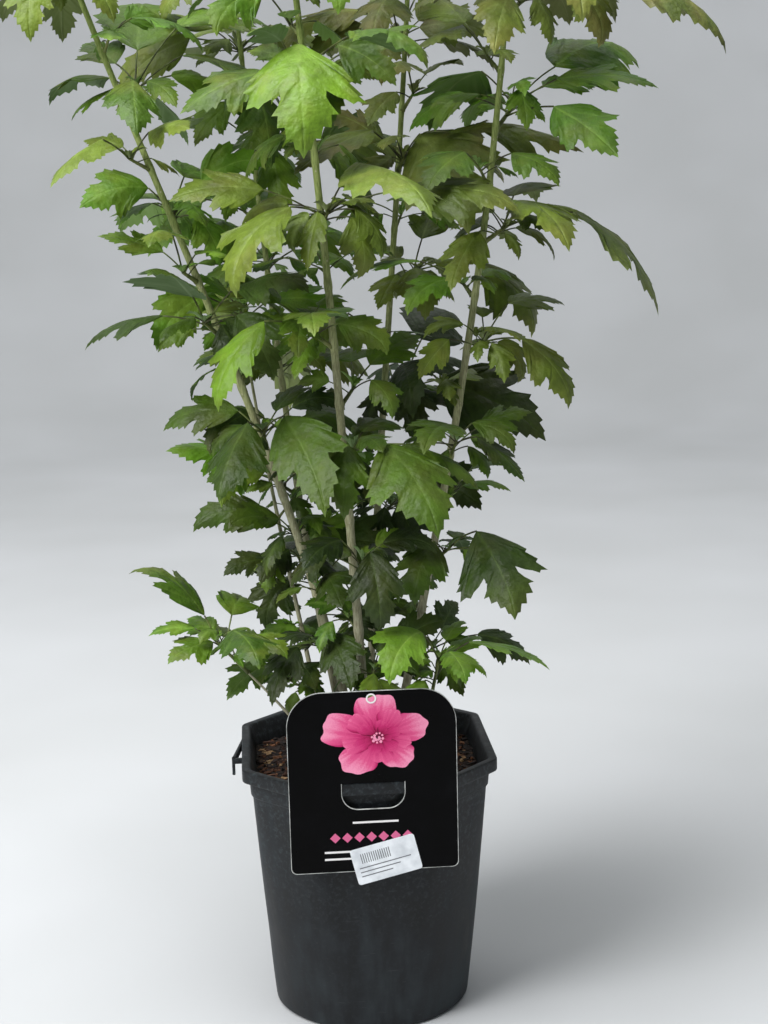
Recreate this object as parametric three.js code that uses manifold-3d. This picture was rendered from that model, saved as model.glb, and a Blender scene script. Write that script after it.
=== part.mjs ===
// A hibiscus shrub in its nursery pot: a clump of canes that rise from the soil and fan out, leafy side
// shoots along each cane, a square pot with cut corners that is round at the foot, and a card label
// hooked over the rim. Millimetres, +Z up, +Y away from the label, origin in the pot's underside.
import * as THREE from "three";
import { mergeVertices } from "three/addons/utils/BufferGeometryUtils.js";
import Module from "manifold-3d";

const wasm = await Module();
wasm.setup();

const DEGREE = Math.PI / 180;
const GAP = 0.3;

// Pot
const POT_HEIGHT = 190;
const POT_TURN = 4.2 * DEGREE;
const POT_WALL = 2.4;
const FLOOR_THICKNESS = 4;
const FOOT_RADIUS = 71;
const FOOT_EDGE = 3;
const BODY_FLAT = 83;
const BODY_ROUND = 96;
const BODY_CUT = 34;
const CUT_INSET = 2 - Math.SQRT2;
const RIM_FLAT = 89;
const RIM_CUT = 36.5;
const RIM_DEPTH = 9;
const RIM_LEDGE = 5.5;
const RIM_EDGE = 1;
const BAND_DEPTH = 22;
const BAND_STEP = 1.2;
const SIDE_STEPS = 4;
const CORNER_STEPS = 3;
const DRAIN_RADIUS = 6;
const DRAIN_RING = 48;
const DRAIN_HOLES = 4;

// Lug on the left side of the rim, between these places along the side
const LUG_OUT = 6;
const LUG_BACK = 25;
const LUG_FRONT = -19;
const LUG_DROP = 2;
const LUG_HEIGHT = 5;
const LUG_BAR = 2.2;
const LUG_TOOTH = 8;
const LUG_TOOTH_LENGTH = 4;

// Soil
const SOIL_TOP = 178;
const SOIL_EDGE_DROP = 3;
const SOIL_LEVEL_RADIUS = 46;
const SOIL_ROOM = 2;

// Card label, in the pot's turned frame
const CARD_WIDTH = 114;
const CARD_BOTTOM = 127.5;
const CARD_TOP = 254.5;
const CARD_THICKNESS = 0.9;
const CARD_MIDDLE = -0.8;
const CARD_CORNER = 24;
const CARD_FOOT_CORNER = 4;
const CARD_HOLE_RADIUS = 2.2;
const CARD_HOLE_DROP = 5.3;
const TONGUE_WIDTH = 42.5;
const TONGUE_REACH = 18.5;
const TONGUE_INSIDE = 9;
const TONGUE_CORNER = 0.6 * TONGUE_REACH;
const HOOK_WIDTH = 0.8 * TONGUE_WIDTH;

// Canes. Each one stands at foot with the slope lean at the root height, just under the soil's top,
// and ends at tip with the slope end.
// Slopes are sideways travel for each millimetre of height. Leafy shoots stand at height first and then
// every gap, each facing its own side: degrees anticlockwise from +X, seen from above.
const ROOT_HEIGHT = 158.3;
const CANES = {
  cane_left: {
    foot: [-3, -8],
    lean: [-0.12, -0.02],
    tip: [-222, -28, 872],
    end: [-0.25, 0],
    thick: 6.6,
    first: 262,
    gap: 75,
    sides: [225, 95, 292, 246, 87, 38, 194, 10],
  },
  cane_back_left: {
    foot: [-8, 14],
    lean: [-0.22, 0.05],
    tip: [-93, 82, 848],
    end: [-0.12, 0.06],
    thick: 5.6,
    first: 290,
    gap: 77,
    sides: [97, 188, 95, 92, 48, 100, 135],
  },
  cane_front: {
    foot: [4, -24],
    lean: [-0.05, -0.06],
    tip: [-53, -75, 902],
    end: [-0.14, -0.03],
    thick: 6.8,
    first: 241,
    gap: 80,
    sides: [290, 297, 287, 205, 300, 254, 352, 222],
  },
  cane_back: {
    foot: [2, 26],
    lean: [0.03, 0.05],
    tip: [51, 68, 868],
    end: [0.03, 0.03],
    thick: 6,
    first: 262,
    gap: 83,
    sides: [125, 42, 2, 10, 290, 120, 62],
  },
  cane_right: {
    foot: [14, 2],
    lean: [0.23, -0.04],
    tip: [114, -29, 886],
    end: [0, 0],
    thick: 6.4,
    first: 250,
    gap: 74,
    sides: [20, 305, 275, 332, 2, 49, 350, 285],
  },
  cane_slender: {
    foot: [-24, 8],
    lean: [-0.16, 0.02],
    tip: [-76, 22, 470],
    end: [-0.12, 0.02],
    thick: 4,
    first: 224,
    gap: 86,
    sides: [212, 345],
  },
  shoot_left: {
    foot: [-18, -22],
    lean: [-0.3, -0.12],
    tip: [-80, -42, 256],
    end: [-0.9, -0.1],
    thick: 3.2,
    first: 0,
    gap: 0,
    sides: [],
  },
  shoot_right: {
    foot: [26, -26],
    lean: [0.2, -0.25],
    tip: [47, -48, 236],
    end: [0.2, -0.2],
    thick: 3,
    first: 0,
    gap: 0,
    sides: [],
  },
};
const CANE_SIDES = 7;
const CANE_STEP = 60;
const CANE_TIP_SHARE = 0.45;

// Leafy side shoots
const GROWTH_SEED = 3471;
const TWIG_RADIUS = 1.6;
const TWIG_TIP_RADIUS = 1.35;
const TWIG_LENGTH = [8, 28];
const TWIG_RISE = 42 * DEGREE;
const TIP_TWIG = 30;
const LEAVES_ON_SIDE = 6;
const LEAVES_ON_TIP = 6;
const LEAF_TRIES = 10;
// Steps that keep the seeds of canes, shoots, leaves and tries apart
const CANE_SEED_STEP = 31;
const TIP_SEED_STEP = 17;
const SHOOT_SEED_STEP = 7;
const LEAF_SEED_STEP = 101;
const TRY_SEED_STEP = 13;
const SEED_RANGE = 1e9;
// Where each leaf of a side shoot faces, in degrees off the shoot's own side, and its length's share
const LEAF_TURNS = [0, 62, -58, 118, -112, 28];
const LEAF_SHARES = [1, 0.84, 0.8, 0.68, 0.64, 0.56];
const LEAD_LENGTH = [66, 98];
// Leaves low on the canes are shorter: by this share at the soil, growing to full length over this height
const LOW_SHARE = 0.5;
const LOW_REACH = 360;
const SIDE_SPREAD = [-8, 8];
const TIP_LEAF = 62;
const GOLDEN_ANGLE = 137.5;
const ROOT_FIRST = 0.3;
const ROOT_LAST = 0.96;
const TIP_SHARE = 0.6;
const TIP_EXTRA_RISE = 15;
// Each leaf draws from these ranges, in degrees or as a share of its length. A leaf that finds no room
// is tried again, turned further and made smaller.
const LENGTH_SPREAD = [0.9, 1.12];
const STALK_SHARE = [0.3, 0.7];
const STALK_RISE = [5, 50];
const KNEE = [5, 45];
const DROOP = [15, 60];
const ROLL = [-28, 28];
const FOLD = [-0.1, 0.35];
// Blades turn their faces to the light, which comes from -Y: they roll by this angle,
// and lift by a share of it
const LIGHT_TURN = [5, 50];
const LIGHT_LIFT = 0.6;
const LOOSE_TURN = 16;
const LOOSER_EACH_TRY = 10;
const SMALLER_EACH_TRY = 0.94;

// A leaf. Its outline is given as [place along the midrib, half width], both as shares of its length.
const LEAF_EDGE = [
  [0.06, 0.2],
  [0.4, 0.4],
  [0.54, 0.2],
];
const LEAF_SPINE = [0.28, 0.62];
const LEAF_THICKNESS = 1.3;
const STALK_RADIUS = 0.6;

// Room round each leaf
const SAMPLE_STEP = 4;
const LEAF_ROOM = 7.2;
const OWN_ROOM = 5.5;
const CANE_ROOM = 4;
const STALK_ROOM = 1.8;
const POT_ROOM = 5;

const FINISHES = {
  pot: { color: 0x303438, roughness: 0.55 },
  soil: { color: 0x3a2a20, roughness: 0.95 },
  card: { color: 0x101012, roughness: 0.3 },
  cane: { color: 0x8f8a68, roughness: 0.8 },
  leaf: { color: 0x3f6a2a, roughness: 0.5 },
};

// Small seeded generator of numbers from 0 to 1
function seeded(seed) {
  let state = seed >>> 0;
  return () => {
    state = (state + 0x6d2b79f5) >>> 0;
    let t = Math.imul(state ^ (state >>> 15), state | 1);
    t ^= t + Math.imul(t ^ (t >>> 7), t | 61);
    return ((t ^ (t >>> 14)) >>> 0) / 4294967296;
  };
}

function mix(a, b, t) {
  return a + (b - a) * t;
}

function between([least, most], draw) {
  return mix(least, most, draw());
}

// Solids

// A closed solid through rings of points, each ring anticlockwise seen from the last one's side
function loft(rings) {
  const count = rings[0].length;
  const points = rings.flat();
  const faces = [];
  for (let r = 0; r + 1 < rings.length; r++) {
    for (let i = 0; i < count; i++) {
      const a = r * count + i;
      const b = r * count + ((i + 1) % count);
      faces.push(a, b, b + count, a, b + count, a + count);
    }
  }
  const start = points.push(centre(rings[0])) - 1;
  const end = points.push(centre(rings[rings.length - 1])) - 1;
  const last = (rings.length - 1) * count;
  for (let i = 0; i < count; i++) {
    const next = (i + 1) % count;
    faces.push(start, next, i, end, last + i, last + next);
  }
  return meshOf(points, faces);
}

function centre(points) {
  const sum = new THREE.Vector3();
  points.forEach((p) => sum.add(p));
  return sum.divideScalar(points.length);
}

function meshOf(points, faces) {
  const geometry = new THREE.BufferGeometry().setFromPoints(points);
  geometry.setIndex(faces);
  return geometry;
}

function solid(geometry) {
  const bare = geometry.clone();
  bare.deleteAttribute("normal");
  bare.deleteAttribute("uv");
  const merged = mergeVertices(bare, 1e-4);
  return new wasm.Manifold(
    new wasm.Mesh({
      numProp: 3,
      vertProperties: merged.attributes.position.array,
      triVerts: new Uint32Array(merged.index.array),
    }),
  );
}

function geometryOf(manifold) {
  const mesh = manifold.getMesh();
  const geometry = new THREE.BufferGeometry();
  geometry.setAttribute("position", new THREE.BufferAttribute(mesh.vertProperties, 3));
  geometry.setIndex(new THREE.BufferAttribute(mesh.triVerts, 1));
  return geometry;
}

function named(name, geometry, kind) {
  const mesh = new THREE.Mesh(geometry, new THREE.MeshStandardMaterial(FINISHES[kind]));
  mesh.name = name;
  return mesh;
}

function block(size, middle, turn = 0) {
  return solid(new THREE.BoxGeometry(...size).rotateZ(turn).translate(...middle));
}

// Pot

function toNearest(angle, step) {
  return angle - step * Math.round(angle / step);
}

// Distance from the axis to the wall of a square with cut corners that lies inside a circle
function wallDistance(angle, flat, cut, round) {
  const side = flat / Math.cos(toNearest(angle, 90 * DEGREE));
  const corner = (2 * flat - cut) / Math.SQRT2 / Math.cos(toNearest(angle - 45 * DEGREE, 90 * DEGREE));
  return Math.min(side, corner, round);
}

// Directions round the pot, with one on each edge between a flat and a cut corner
const EDGE_ANGLE = Math.atan2(RIM_FLAT - RIM_CUT, RIM_FLAT);
const AROUND = [];
for (let quarter = 0; quarter < 4; quarter++) {
  const flat = quarter * 90 * DEGREE;
  for (let i = 0; i < SIDE_STEPS; i++) AROUND.push(flat + mix(-EDGE_ANGLE, EDGE_ANGLE, i / SIDE_STEPS));
  for (let i = 0; i < CORNER_STEPS; i++) {
    AROUND.push(flat + mix(EDGE_ANGLE, 90 * DEGREE - EDGE_ANGLE, i / CORNER_STEPS));
  }
}

function potRing(height, distanceAt) {
  return AROUND.map((angle) => {
    const d = distanceAt(angle);
    return new THREE.Vector3(d * Math.cos(angle), d * Math.sin(angle), height);
  });
}

// The body widens from a round foot to the cut square under the rim; inset moves the wall inwards
function bodyRing(height, inset) {
  const t = height / (POT_HEIGHT - RIM_DEPTH);
  const flat = mix(FOOT_RADIUS, BODY_FLAT, t) - inset;
  const round = mix(FOOT_RADIUS, BODY_ROUND, t) - inset;
  return potRing(height, (angle) => wallDistance(angle, flat, BODY_CUT - inset * CUT_INSET, round));
}

// Heights at which the wall and the soil inside it both have a ring
const BAND_BOTTOM = POT_HEIGHT - BAND_DEPTH;
const WALL_HEIGHTS = [0.25, 0.5, 0.75, 1].map((share) => BAND_BOTTOM * share);

function rimRing(height, inset) {
  const flat = RIM_FLAT - inset;
  return potRing(height, (angle) => wallDistance(angle, flat, RIM_CUT - inset * CUT_INSET, Infinity));
}

function potShell() {
  const underRim = POT_HEIGHT - RIM_DEPTH;
  const inner = BAND_STEP + POT_WALL;
  const shell = loft([
    bodyRing(0, FOOT_EDGE),
    bodyRing(FOOT_EDGE, 0),
    ...WALL_HEIGHTS.map((height) => bodyRing(height, 0)),
    bodyRing(BAND_BOTTOM + RIM_EDGE, -BAND_STEP),
    bodyRing(underRim, -BAND_STEP),
    rimRing(underRim, 0),
    rimRing(POT_HEIGHT - RIM_EDGE, 0),
    rimRing(POT_HEIGHT, RIM_EDGE),
    rimRing(POT_HEIGHT, RIM_LEDGE),
    rimRing(POT_HEIGHT - 2 * RIM_EDGE, RIM_LEDGE + RIM_EDGE),
    ...WALL_HEIGHTS.map((height) => bodyRing(height, inner)).reverse(),
    bodyRing(FLOOR_THICKNESS, inner),
  ]);
  return solid(shell);
}

// Drain holes through the floor, in a ring off the middle
function drainHoles() {
  const holes = [];
  for (let i = 0; i < DRAIN_HOLES; i++) {
    const angle = (i + 0.5) * (360 / DRAIN_HOLES) * DEGREE;
    const pin = new THREE.CylinderGeometry(DRAIN_RADIUS, DRAIN_RADIUS, 3 * FLOOR_THICKNESS, 10);
    pin.rotateX(90 * DEGREE);
    pin.translate(DRAIN_RING * Math.cos(angle), DRAIN_RING * Math.sin(angle), 0);
    holes.push(solid(pin));
  }
  return holes;
}

// Lug: a bar that slopes away from the rim, an arm that holds its end, and a tooth that points down
function lug() {
  const top = POT_HEIGHT - LUG_DROP;
  const middleZ = top - LUG_HEIGHT / 2;
  const run = LUG_BACK - LUG_FRONT;
  const out = LUG_OUT + LUG_BAR / 2;
  const barMiddle = [-RIM_FLAT - LUG_OUT / 2 + LUG_BAR / 4, (LUG_BACK + LUG_FRONT) / 2, middleZ];
  const bar = block([LUG_BAR, Math.hypot(run, out), LUG_HEIGHT], barMiddle, -Math.atan2(out, run));
  const endX = -(RIM_FLAT + LUG_OUT);
  const armY = LUG_FRONT + LUG_BAR / 2;
  const arm = block([LUG_OUT + 2, LUG_BAR, LUG_HEIGHT - 1], [endX + LUG_OUT / 2 + 1, armY, middleZ]);
  const tall = LUG_TOOTH + LUG_HEIGHT;
  const toothMiddle = [endX, LUG_FRONT + LUG_TOOTH_LENGTH / 2, top - tall / 2];
  const tooth = block([LUG_BAR, LUG_TOOTH_LENGTH, tall], toothMiddle);
  return [bar, arm, tooth];
}

function pot() {
  let made = potShell();
  lug().forEach((piece) => (made = made.add(piece)));
  drainHoles().forEach((hole) => (made = made.subtract(hole)));
  return named("pot", geometryOf(made), "pot");
}

// Soil: fills the pot with a level middle that the canes stand on, and sinks a little at the wall
function soil() {
  const inset = BAND_STEP + POT_WALL + SOIL_ROOM;
  const level = potRing(SOIL_TOP, () => SOIL_LEVEL_RADIUS);
  const filled = loft([
    bodyRing(FLOOR_THICKNESS + GAP, inset + SOIL_ROOM),
    ...WALL_HEIGHTS.map((height) => bodyRing(height, inset)),
    bodyRing(SOIL_TOP - SOIL_EDGE_DROP, inset),
    level,
  ]);
  return named("soil", filled, "soil");
}

// Card label

function cardOutline() {
  const half = CARD_WIDTH / 2;
  const shape = new THREE.Shape();
  const foot = CARD_FOOT_CORNER;
  shape.moveTo(foot - half, CARD_BOTTOM);
  shape.lineTo(half - foot, CARD_BOTTOM);
  shape.absarc(half - foot, CARD_BOTTOM + foot, foot, -90 * DEGREE, 0, false);
  shape.lineTo(half, CARD_TOP - CARD_CORNER);
  shape.absarc(half - CARD_CORNER, CARD_TOP - CARD_CORNER, CARD_CORNER, 0, 90 * DEGREE, false);
  shape.lineTo(-half + CARD_CORNER, CARD_TOP);
  shape.absarc(CARD_CORNER - half, CARD_TOP - CARD_CORNER, CARD_CORNER, 90 * DEGREE, 180 * DEGREE, false);
  shape.lineTo(-half, CARD_BOTTOM + foot);
  shape.absarc(foot - half, CARD_BOTTOM + foot, foot, 180 * DEGREE, 270 * DEGREE, false);
  const hole = new THREE.Path();
  hole.absarc(0, CARD_TOP - CARD_HOLE_DROP, CARD_HOLE_RADIUS, 0, 360 * DEGREE, true);
  shape.holes.push(hole, tongueOpening());
  return shape;
}

// The opening that the tongue leaves: straight at the rim's top, with round lower corners
function tongueOpening() {
  const half = TONGUE_WIDTH / 2;
  const top = POT_HEIGHT + GAP;
  const bottom = top - TONGUE_REACH;
  const corner = TONGUE_CORNER;
  const path = new THREE.Path();
  path.moveTo(-half, top);
  path.lineTo(half, top);
  path.lineTo(half, bottom + corner);
  path.absarc(half - corner, bottom + corner, corner, 0, -90 * DEGREE, true);
  path.lineTo(-half + corner, bottom);
  path.absarc(corner - half, bottom + corner, corner, -90 * DEGREE, -180 * DEGREE, true);
  path.lineTo(-half, top);
  return path;
}

function card() {
  const plate = new THREE.ExtrudeGeometry(cardOutline(), {
    depth: CARD_THICKNESS,
    bevelEnabled: false,
    curveSegments: 5,
  });
  plate.rotateX(90 * DEGREE);
  const back = -(RIM_FLAT + GAP);
  plate.translate(CARD_MIDDLE, back, 0);
  const tongueY = back - CARD_THICKNESS;
  const hookBack = -(BODY_FLAT - BAND_STEP - POT_WALL) + GAP + CARD_THICKNESS;
  const over = hookBack - tongueY;
  const flap = block(
    [TONGUE_WIDTH, over, CARD_THICKNESS],
    [CARD_MIDDLE, tongueY + over / 2, POT_HEIGHT + GAP + CARD_THICKNESS / 2],
  );
  const hook = block(
    [HOOK_WIDTH, CARD_THICKNESS, TONGUE_INSIDE],
    [CARD_MIDDLE, tongueY + over - CARD_THICKNESS / 2, POT_HEIGHT + GAP + CARD_THICKNESS - TONGUE_INSIDE / 2],
  );
  return named("card_label", geometryOf(solid(plate).add(flap).add(hook)), "card");
}

// Canes

// One coordinate of a curve that leaves a with slope m and reaches b with slope n, over a height span
function bend(a, m, b, n, span, s) {
  const s2 = s * s;
  const s3 = s2 * s;
  return (
    (2 * s3 - 3 * s2 + 1) * a +
    (s3 - 2 * s2 + s) * span * m +
    (3 * s2 - 2 * s3) * b +
    (s3 - s2) * span * n
  );
}

function canePoint(cane, height) {
  const span = cane.tip[2] - ROOT_HEIGHT;
  const s = (height - ROOT_HEIGHT) / span;
  return new THREE.Vector3(
    bend(cane.foot[0], cane.lean[0], cane.tip[0], cane.end[0], span, s),
    bend(cane.foot[1], cane.lean[1], cane.tip[1], cane.end[1], span, s),
    height,
  );
}

function caneDirection(cane, height) {
  const step = 1;
  return canePoint(cane, height).sub(canePoint(cane, height - step)).normalize();
}

function caneRadius(cane, height) {
  const s = (height - ROOT_HEIGHT) / (cane.tip[2] - ROOT_HEIGHT);
  return (cane.thick / 2) * mix(1, CANE_TIP_SHARE, s);
}

// A cane's rings are level, so that it is cut flat on the soil
function caneSolid(cane) {
  const foot = SOIL_TOP + GAP;
  const span = cane.tip[2] - foot;
  const steps = Math.max(3, Math.ceil(span / CANE_STEP));
  const rings = [];
  for (let i = 0; i <= steps; i++) {
    const height = foot + (span * i) / steps;
    const middle = canePoint(cane, height);
    const radius = caneRadius(cane, height);
    const ring = [];
    for (let k = 0; k < CANE_SIDES; k++) {
      const angle = (k / CANE_SIDES) * 360 * DEGREE;
      ring.push(
        new THREE.Vector3(Math.cos(angle), Math.sin(angle), 0).multiplyScalar(radius).add(middle),
      );
    }
    rings.push(ring);
  }
  return loft(rings);
}

// Leaves

function heading(angle, rise) {
  return new THREE.Vector3(
    Math.cos(angle) * Math.cos(rise),
    Math.sin(angle) * Math.cos(rise),
    Math.sin(rise),
  );
}

// Place, side and face directions of a leaf at share u along its midrib, which droops evenly
function midrib(leaf, u) {
  const rise = leaf.rise - leaf.droop * u;
  const out = (leaf.length * (Math.sin(leaf.rise) - Math.sin(rise))) / leaf.droop;
  const up = (leaf.length * (Math.cos(rise) - Math.cos(leaf.rise))) / leaf.droop;
  const place = heading(leaf.angle, 0).multiplyScalar(out).add(leaf.base);
  place.z += up;
  const across = heading(leaf.angle + 90 * DEGREE, 0);
  const above = heading(leaf.angle, rise + 90 * DEGREE);
  const side = across.clone().multiplyScalar(Math.cos(leaf.roll)).addScaledVector(above, Math.sin(leaf.roll));
  const face = above.multiplyScalar(Math.cos(leaf.roll)).addScaledVector(across, -Math.sin(leaf.roll));
  return { place, side, face };
}

// A point on the blade, off the midrib by a share of the length; the two halves fold down a little
function bladePoint(leaf, u, off, lift) {
  const { place, side, face } = midrib(leaf, u);
  place.addScaledVector(side, off * leaf.length);
  return place.addScaledVector(face, lift - Math.abs(off) * leaf.length * leaf.fold);
}

function halfWidth(u) {
  const edge = [[0, 0], ...LEAF_EDGE, [1, 0]];
  const i = edge.findIndex((point) => u <= point[0]);
  if (i < 1) return 0;
  const [[u0, w0], [u1, w1]] = [edge[i - 1], edge[i]];
  return mix(w0, w1, (u - u0) / (u1 - u0));
}

function bladeSamples(leaf) {
  const samples = [];
  const steps = Math.ceil(leaf.length / SAMPLE_STEP);
  for (let i = 0; i <= steps; i++) {
    const u = i / steps;
    const half = halfWidth(u);
    const across = Math.ceil((2 * half * leaf.length) / SAMPLE_STEP);
    for (let k = 0; k <= across; k++) {
      const off = across ? mix(-half, half, k / across) : 0;
      samples.push(bladePoint(leaf, u, off, 0));
    }
  }
  return samples;
}

function stalkSamples(leaf) {
  const steps = Math.ceil(leaf.root.distanceTo(leaf.base) / SAMPLE_STEP);
  const samples = [];
  for (let i = 1; i <= steps; i++) samples.push(leaf.root.clone().lerp(leaf.base, i / steps));
  return samples;
}

// The closed solid of one leaf: a three-sided stalk that runs into a blade with a sharp edge
function leafSolid(leaf) {
  const start = midrib({ ...leaf, rise: leaf.stalkRise, roll: 0, base: leaf.root }, 0);
  const finish = midrib(leaf, 0);
  const corners = ({ place, side, face }) => [
    place.clone().addScaledVector(side, -STALK_RADIUS).addScaledVector(face, STALK_RADIUS * 0.5),
    place.clone().addScaledVector(face, -STALK_RADIUS),
    place.clone().addScaledVector(side, STALK_RADIUS).addScaledVector(face, STALK_RADIUS * 0.5),
  ];
  const points = [...corners(start), ...corners(finish)];
  const half = LEAF_THICKNESS / 2;
  const right = LEAF_EDGE.map(([u, w]) => points.push(bladePoint(leaf, u, -w, 0)) - 1);
  const left = LEAF_EDGE.map(([u, w]) => points.push(bladePoint(leaf, u, w, 0)) - 1);
  const upper = LEAF_SPINE.map((u) => points.push(bladePoint(leaf, u, 0, half)) - 1);
  const lower = LEAF_SPINE.map((u) => points.push(bladePoint(leaf, u, 0, -half)) - 1);
  const tip = points.push(bladePoint(leaf, 1, 0, 0)) - 1;
  const [r0, under, l0] = [3, 4, 5];
  const faces = [0, 2, 1];
  for (let i = 0; i < 3; i++) {
    const next = (i + 1) % 3;
    faces.push(i, next, i + 3, next, next + 3, i + 3);
  }
  const bladeHalf = (rim, spine) => [
    [rim[0], rim[1], spine[0]],
    [rim[1], rim[2], spine[0]],
    [rim[2], rim[3], spine[0]],
    [rim[3], spine[1], spine[0]],
    [rim[3], tip, spine[1]],
  ];
  bladeHalf([r0, ...right], upper).forEach(([a, b, c]) => faces.push(a, b, c));
  bladeHalf([l0, ...left], upper).forEach(([a, b, c]) => faces.push(a, c, b));
  bladeHalf([r0, ...right], lower).forEach(([a, b, c]) => faces.push(a, c, b));
  bladeHalf([l0, ...left], lower).forEach(([a, b, c]) => faces.push(a, b, c));
  faces.push(r0, upper[0], l0, r0, under, lower[0], under, l0, lower[0]);
  return meshOf(points, faces);
}

// Room: samples of everything that has been placed, in a grid of cells

const cells = new Map();

function cellOf(point, dx, dy, dz) {
  const [x, y, z] = [point.x, point.y, point.z].map((v) => Math.floor(v / LEAF_ROOM));
  return [x + dx, y + dy, z + dz].join();
}

function keep(points, owner) {
  points.forEach((point) => {
    const cell = cellOf(point, 0, 0, 0);
    if (!cells.has(cell)) cells.set(cell, []);
    cells.get(cell).push({ point, owner });
  });
}

// Whether a point keeps ownRoom to samples of its own shoot and LEAF_ROOM to those of all others
function clearOfLeaves(point, owner, ownRoom) {
  for (let dx = -1; dx <= 1; dx++) {
    for (let dy = -1; dy <= 1; dy++) {
      for (let dz = -1; dz <= 1; dz++) {
        for (const other of cells.get(cellOf(point, dx, dy, dz)) ?? []) {
          const room = other.owner === owner ? ownRoom : LEAF_ROOM;
          if (other.point.distanceTo(point) < room) return false;
        }
      }
    }
  }
  return true;
}

function clearOfCanes(point, room) {
  return Object.values(CANES).every((cane) => {
    if (point.z > cane.tip[2] + room) return true;
    const height = Math.min(Math.max(point.z, ROOT_HEIGHT), cane.tip[2]);
    const lean = Math.hypot(cane.end[0], cane.lean[0]);
    const away = canePoint(cane, height).distanceTo(point) * Math.cos(Math.atan(lean));
    return away > caneRadius(cane, height) + room;
  });
}

// The pot's footprint up to just over its rim, and the slab that the card takes up
function clearOfPot(point) {
  const x = point.x * Math.cos(POT_TURN) + point.y * Math.sin(POT_TURN);
  const y = point.y * Math.cos(POT_TURN) - point.x * Math.sin(POT_TURN);
  const wall = wallDistance(Math.atan2(y, x), RIM_FLAT + LUG_OUT, RIM_CUT, Infinity);
  if (point.z < POT_HEIGHT + POT_ROOM && Math.hypot(x, y) < wall + POT_ROOM) return false;
  const inCard =
    Math.abs(y + RIM_FLAT) < POT_ROOM + CARD_THICKNESS &&
    Math.abs(x - CARD_MIDDLE) < CARD_WIDTH / 2 + POT_ROOM &&
    Math.abs(point.z - (CARD_TOP + CARD_BOTTOM) / 2) < (CARD_TOP - CARD_BOTTOM) / 2 + POT_ROOM;
  return !inCard;
}

// Shoots

// The sum of a name's letter codes, so that each cane's draws are its own
function nameSum(name) {
  return [...name].reduce((sum, letter) => sum + letter.charCodeAt(0), 0);
}

function lowShare(height) {
  return mix(LOW_SHARE, 1, Math.min(1, Math.max(0, (height - ROOT_HEIGHT) / LOW_REACH)));
}

// The twig of a side shoot leaves the cane's surface, rising outwards
function sideShoot(cane, index, name) {
  const draw = seeded(nameSum(name) * CANE_SEED_STEP + index * SHOOT_SEED_STEP + GROWTH_SEED);
  const height = cane.first + cane.gap * index;
  const angle = (cane.sides[index] + between(SIDE_SPREAD, draw)) * DEGREE;
  const along = between(TWIG_LENGTH, draw);
  const upwards = caneDirection(cane, height);
  const off = heading(angle, 0).projectOnPlane(upwards).normalize();
  const foot = canePoint(cane, height).addScaledVector(off, caneRadius(cane, height) + GAP);
  const tip = foot.clone().addScaledVector(off, along * Math.cos(TWIG_RISE));
  tip.addScaledVector(upwards, along * Math.sin(TWIG_RISE));
  return {
    name: `${name}_spray_${index + 1}`,
    foot,
    tip,
    off,
    angle,
    lead: between(LEAD_LENGTH, draw) * lowShare(height),
    leaves: LEAVES_ON_SIDE,
    seed: draw() * SEED_RANGE,
    atTip: false,
  };
}

// The shoot at a cane's tip grows on in the cane's own direction
function tipShoot(cane, name) {
  const draw = seeded(nameSum(name) * TIP_SEED_STEP + GROWTH_SEED);
  const off = new THREE.Vector3(0, 0, 1);
  const foot = new THREE.Vector3(...cane.tip).addScaledVector(off, GAP);
  const tip = foot.clone().addScaledVector(caneDirection(cane, cane.tip[2]), TIP_TWIG);
  return {
    name: `${name}_spray_top`,
    foot,
    tip,
    off,
    angle: draw() * 360 * DEGREE,
    lead: TIP_LEAF,
    leaves: LEAVES_ON_TIP,
    seed: draw() * SEED_RANGE,
    atTip: true,
  };
}

// A three-sided twig, flat on the cane at its foot
function twigSolid(shoot) {
  const along = shoot.tip.clone().sub(shoot.foot).normalize();
  const level = new THREE.Vector3(along.y, -along.x, 0);
  if (level.length() < 1e-6) level.set(1, 0, 0);
  const ring = (middle, normal, radius) => {
    const across = level.clone().projectOnPlane(normal).normalize();
    const up = new THREE.Vector3().crossVectors(normal, across);
    return [0, 1, 2].map((k) => {
      const a = (k * 120 + 90) * DEGREE;
      return middle
        .clone()
        .addScaledVector(across, radius * Math.cos(a))
        .addScaledVector(up, radius * Math.sin(a));
    });
  };
  const middle = shoot.foot.clone().lerp(shoot.tip, 0.5);
  return loft([
    ring(shoot.foot, shoot.off, TWIG_RADIUS),
    ring(middle, along, TWIG_RADIUS),
    ring(shoot.tip, along, TWIG_TIP_RADIUS),
  ]);
}

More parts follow.
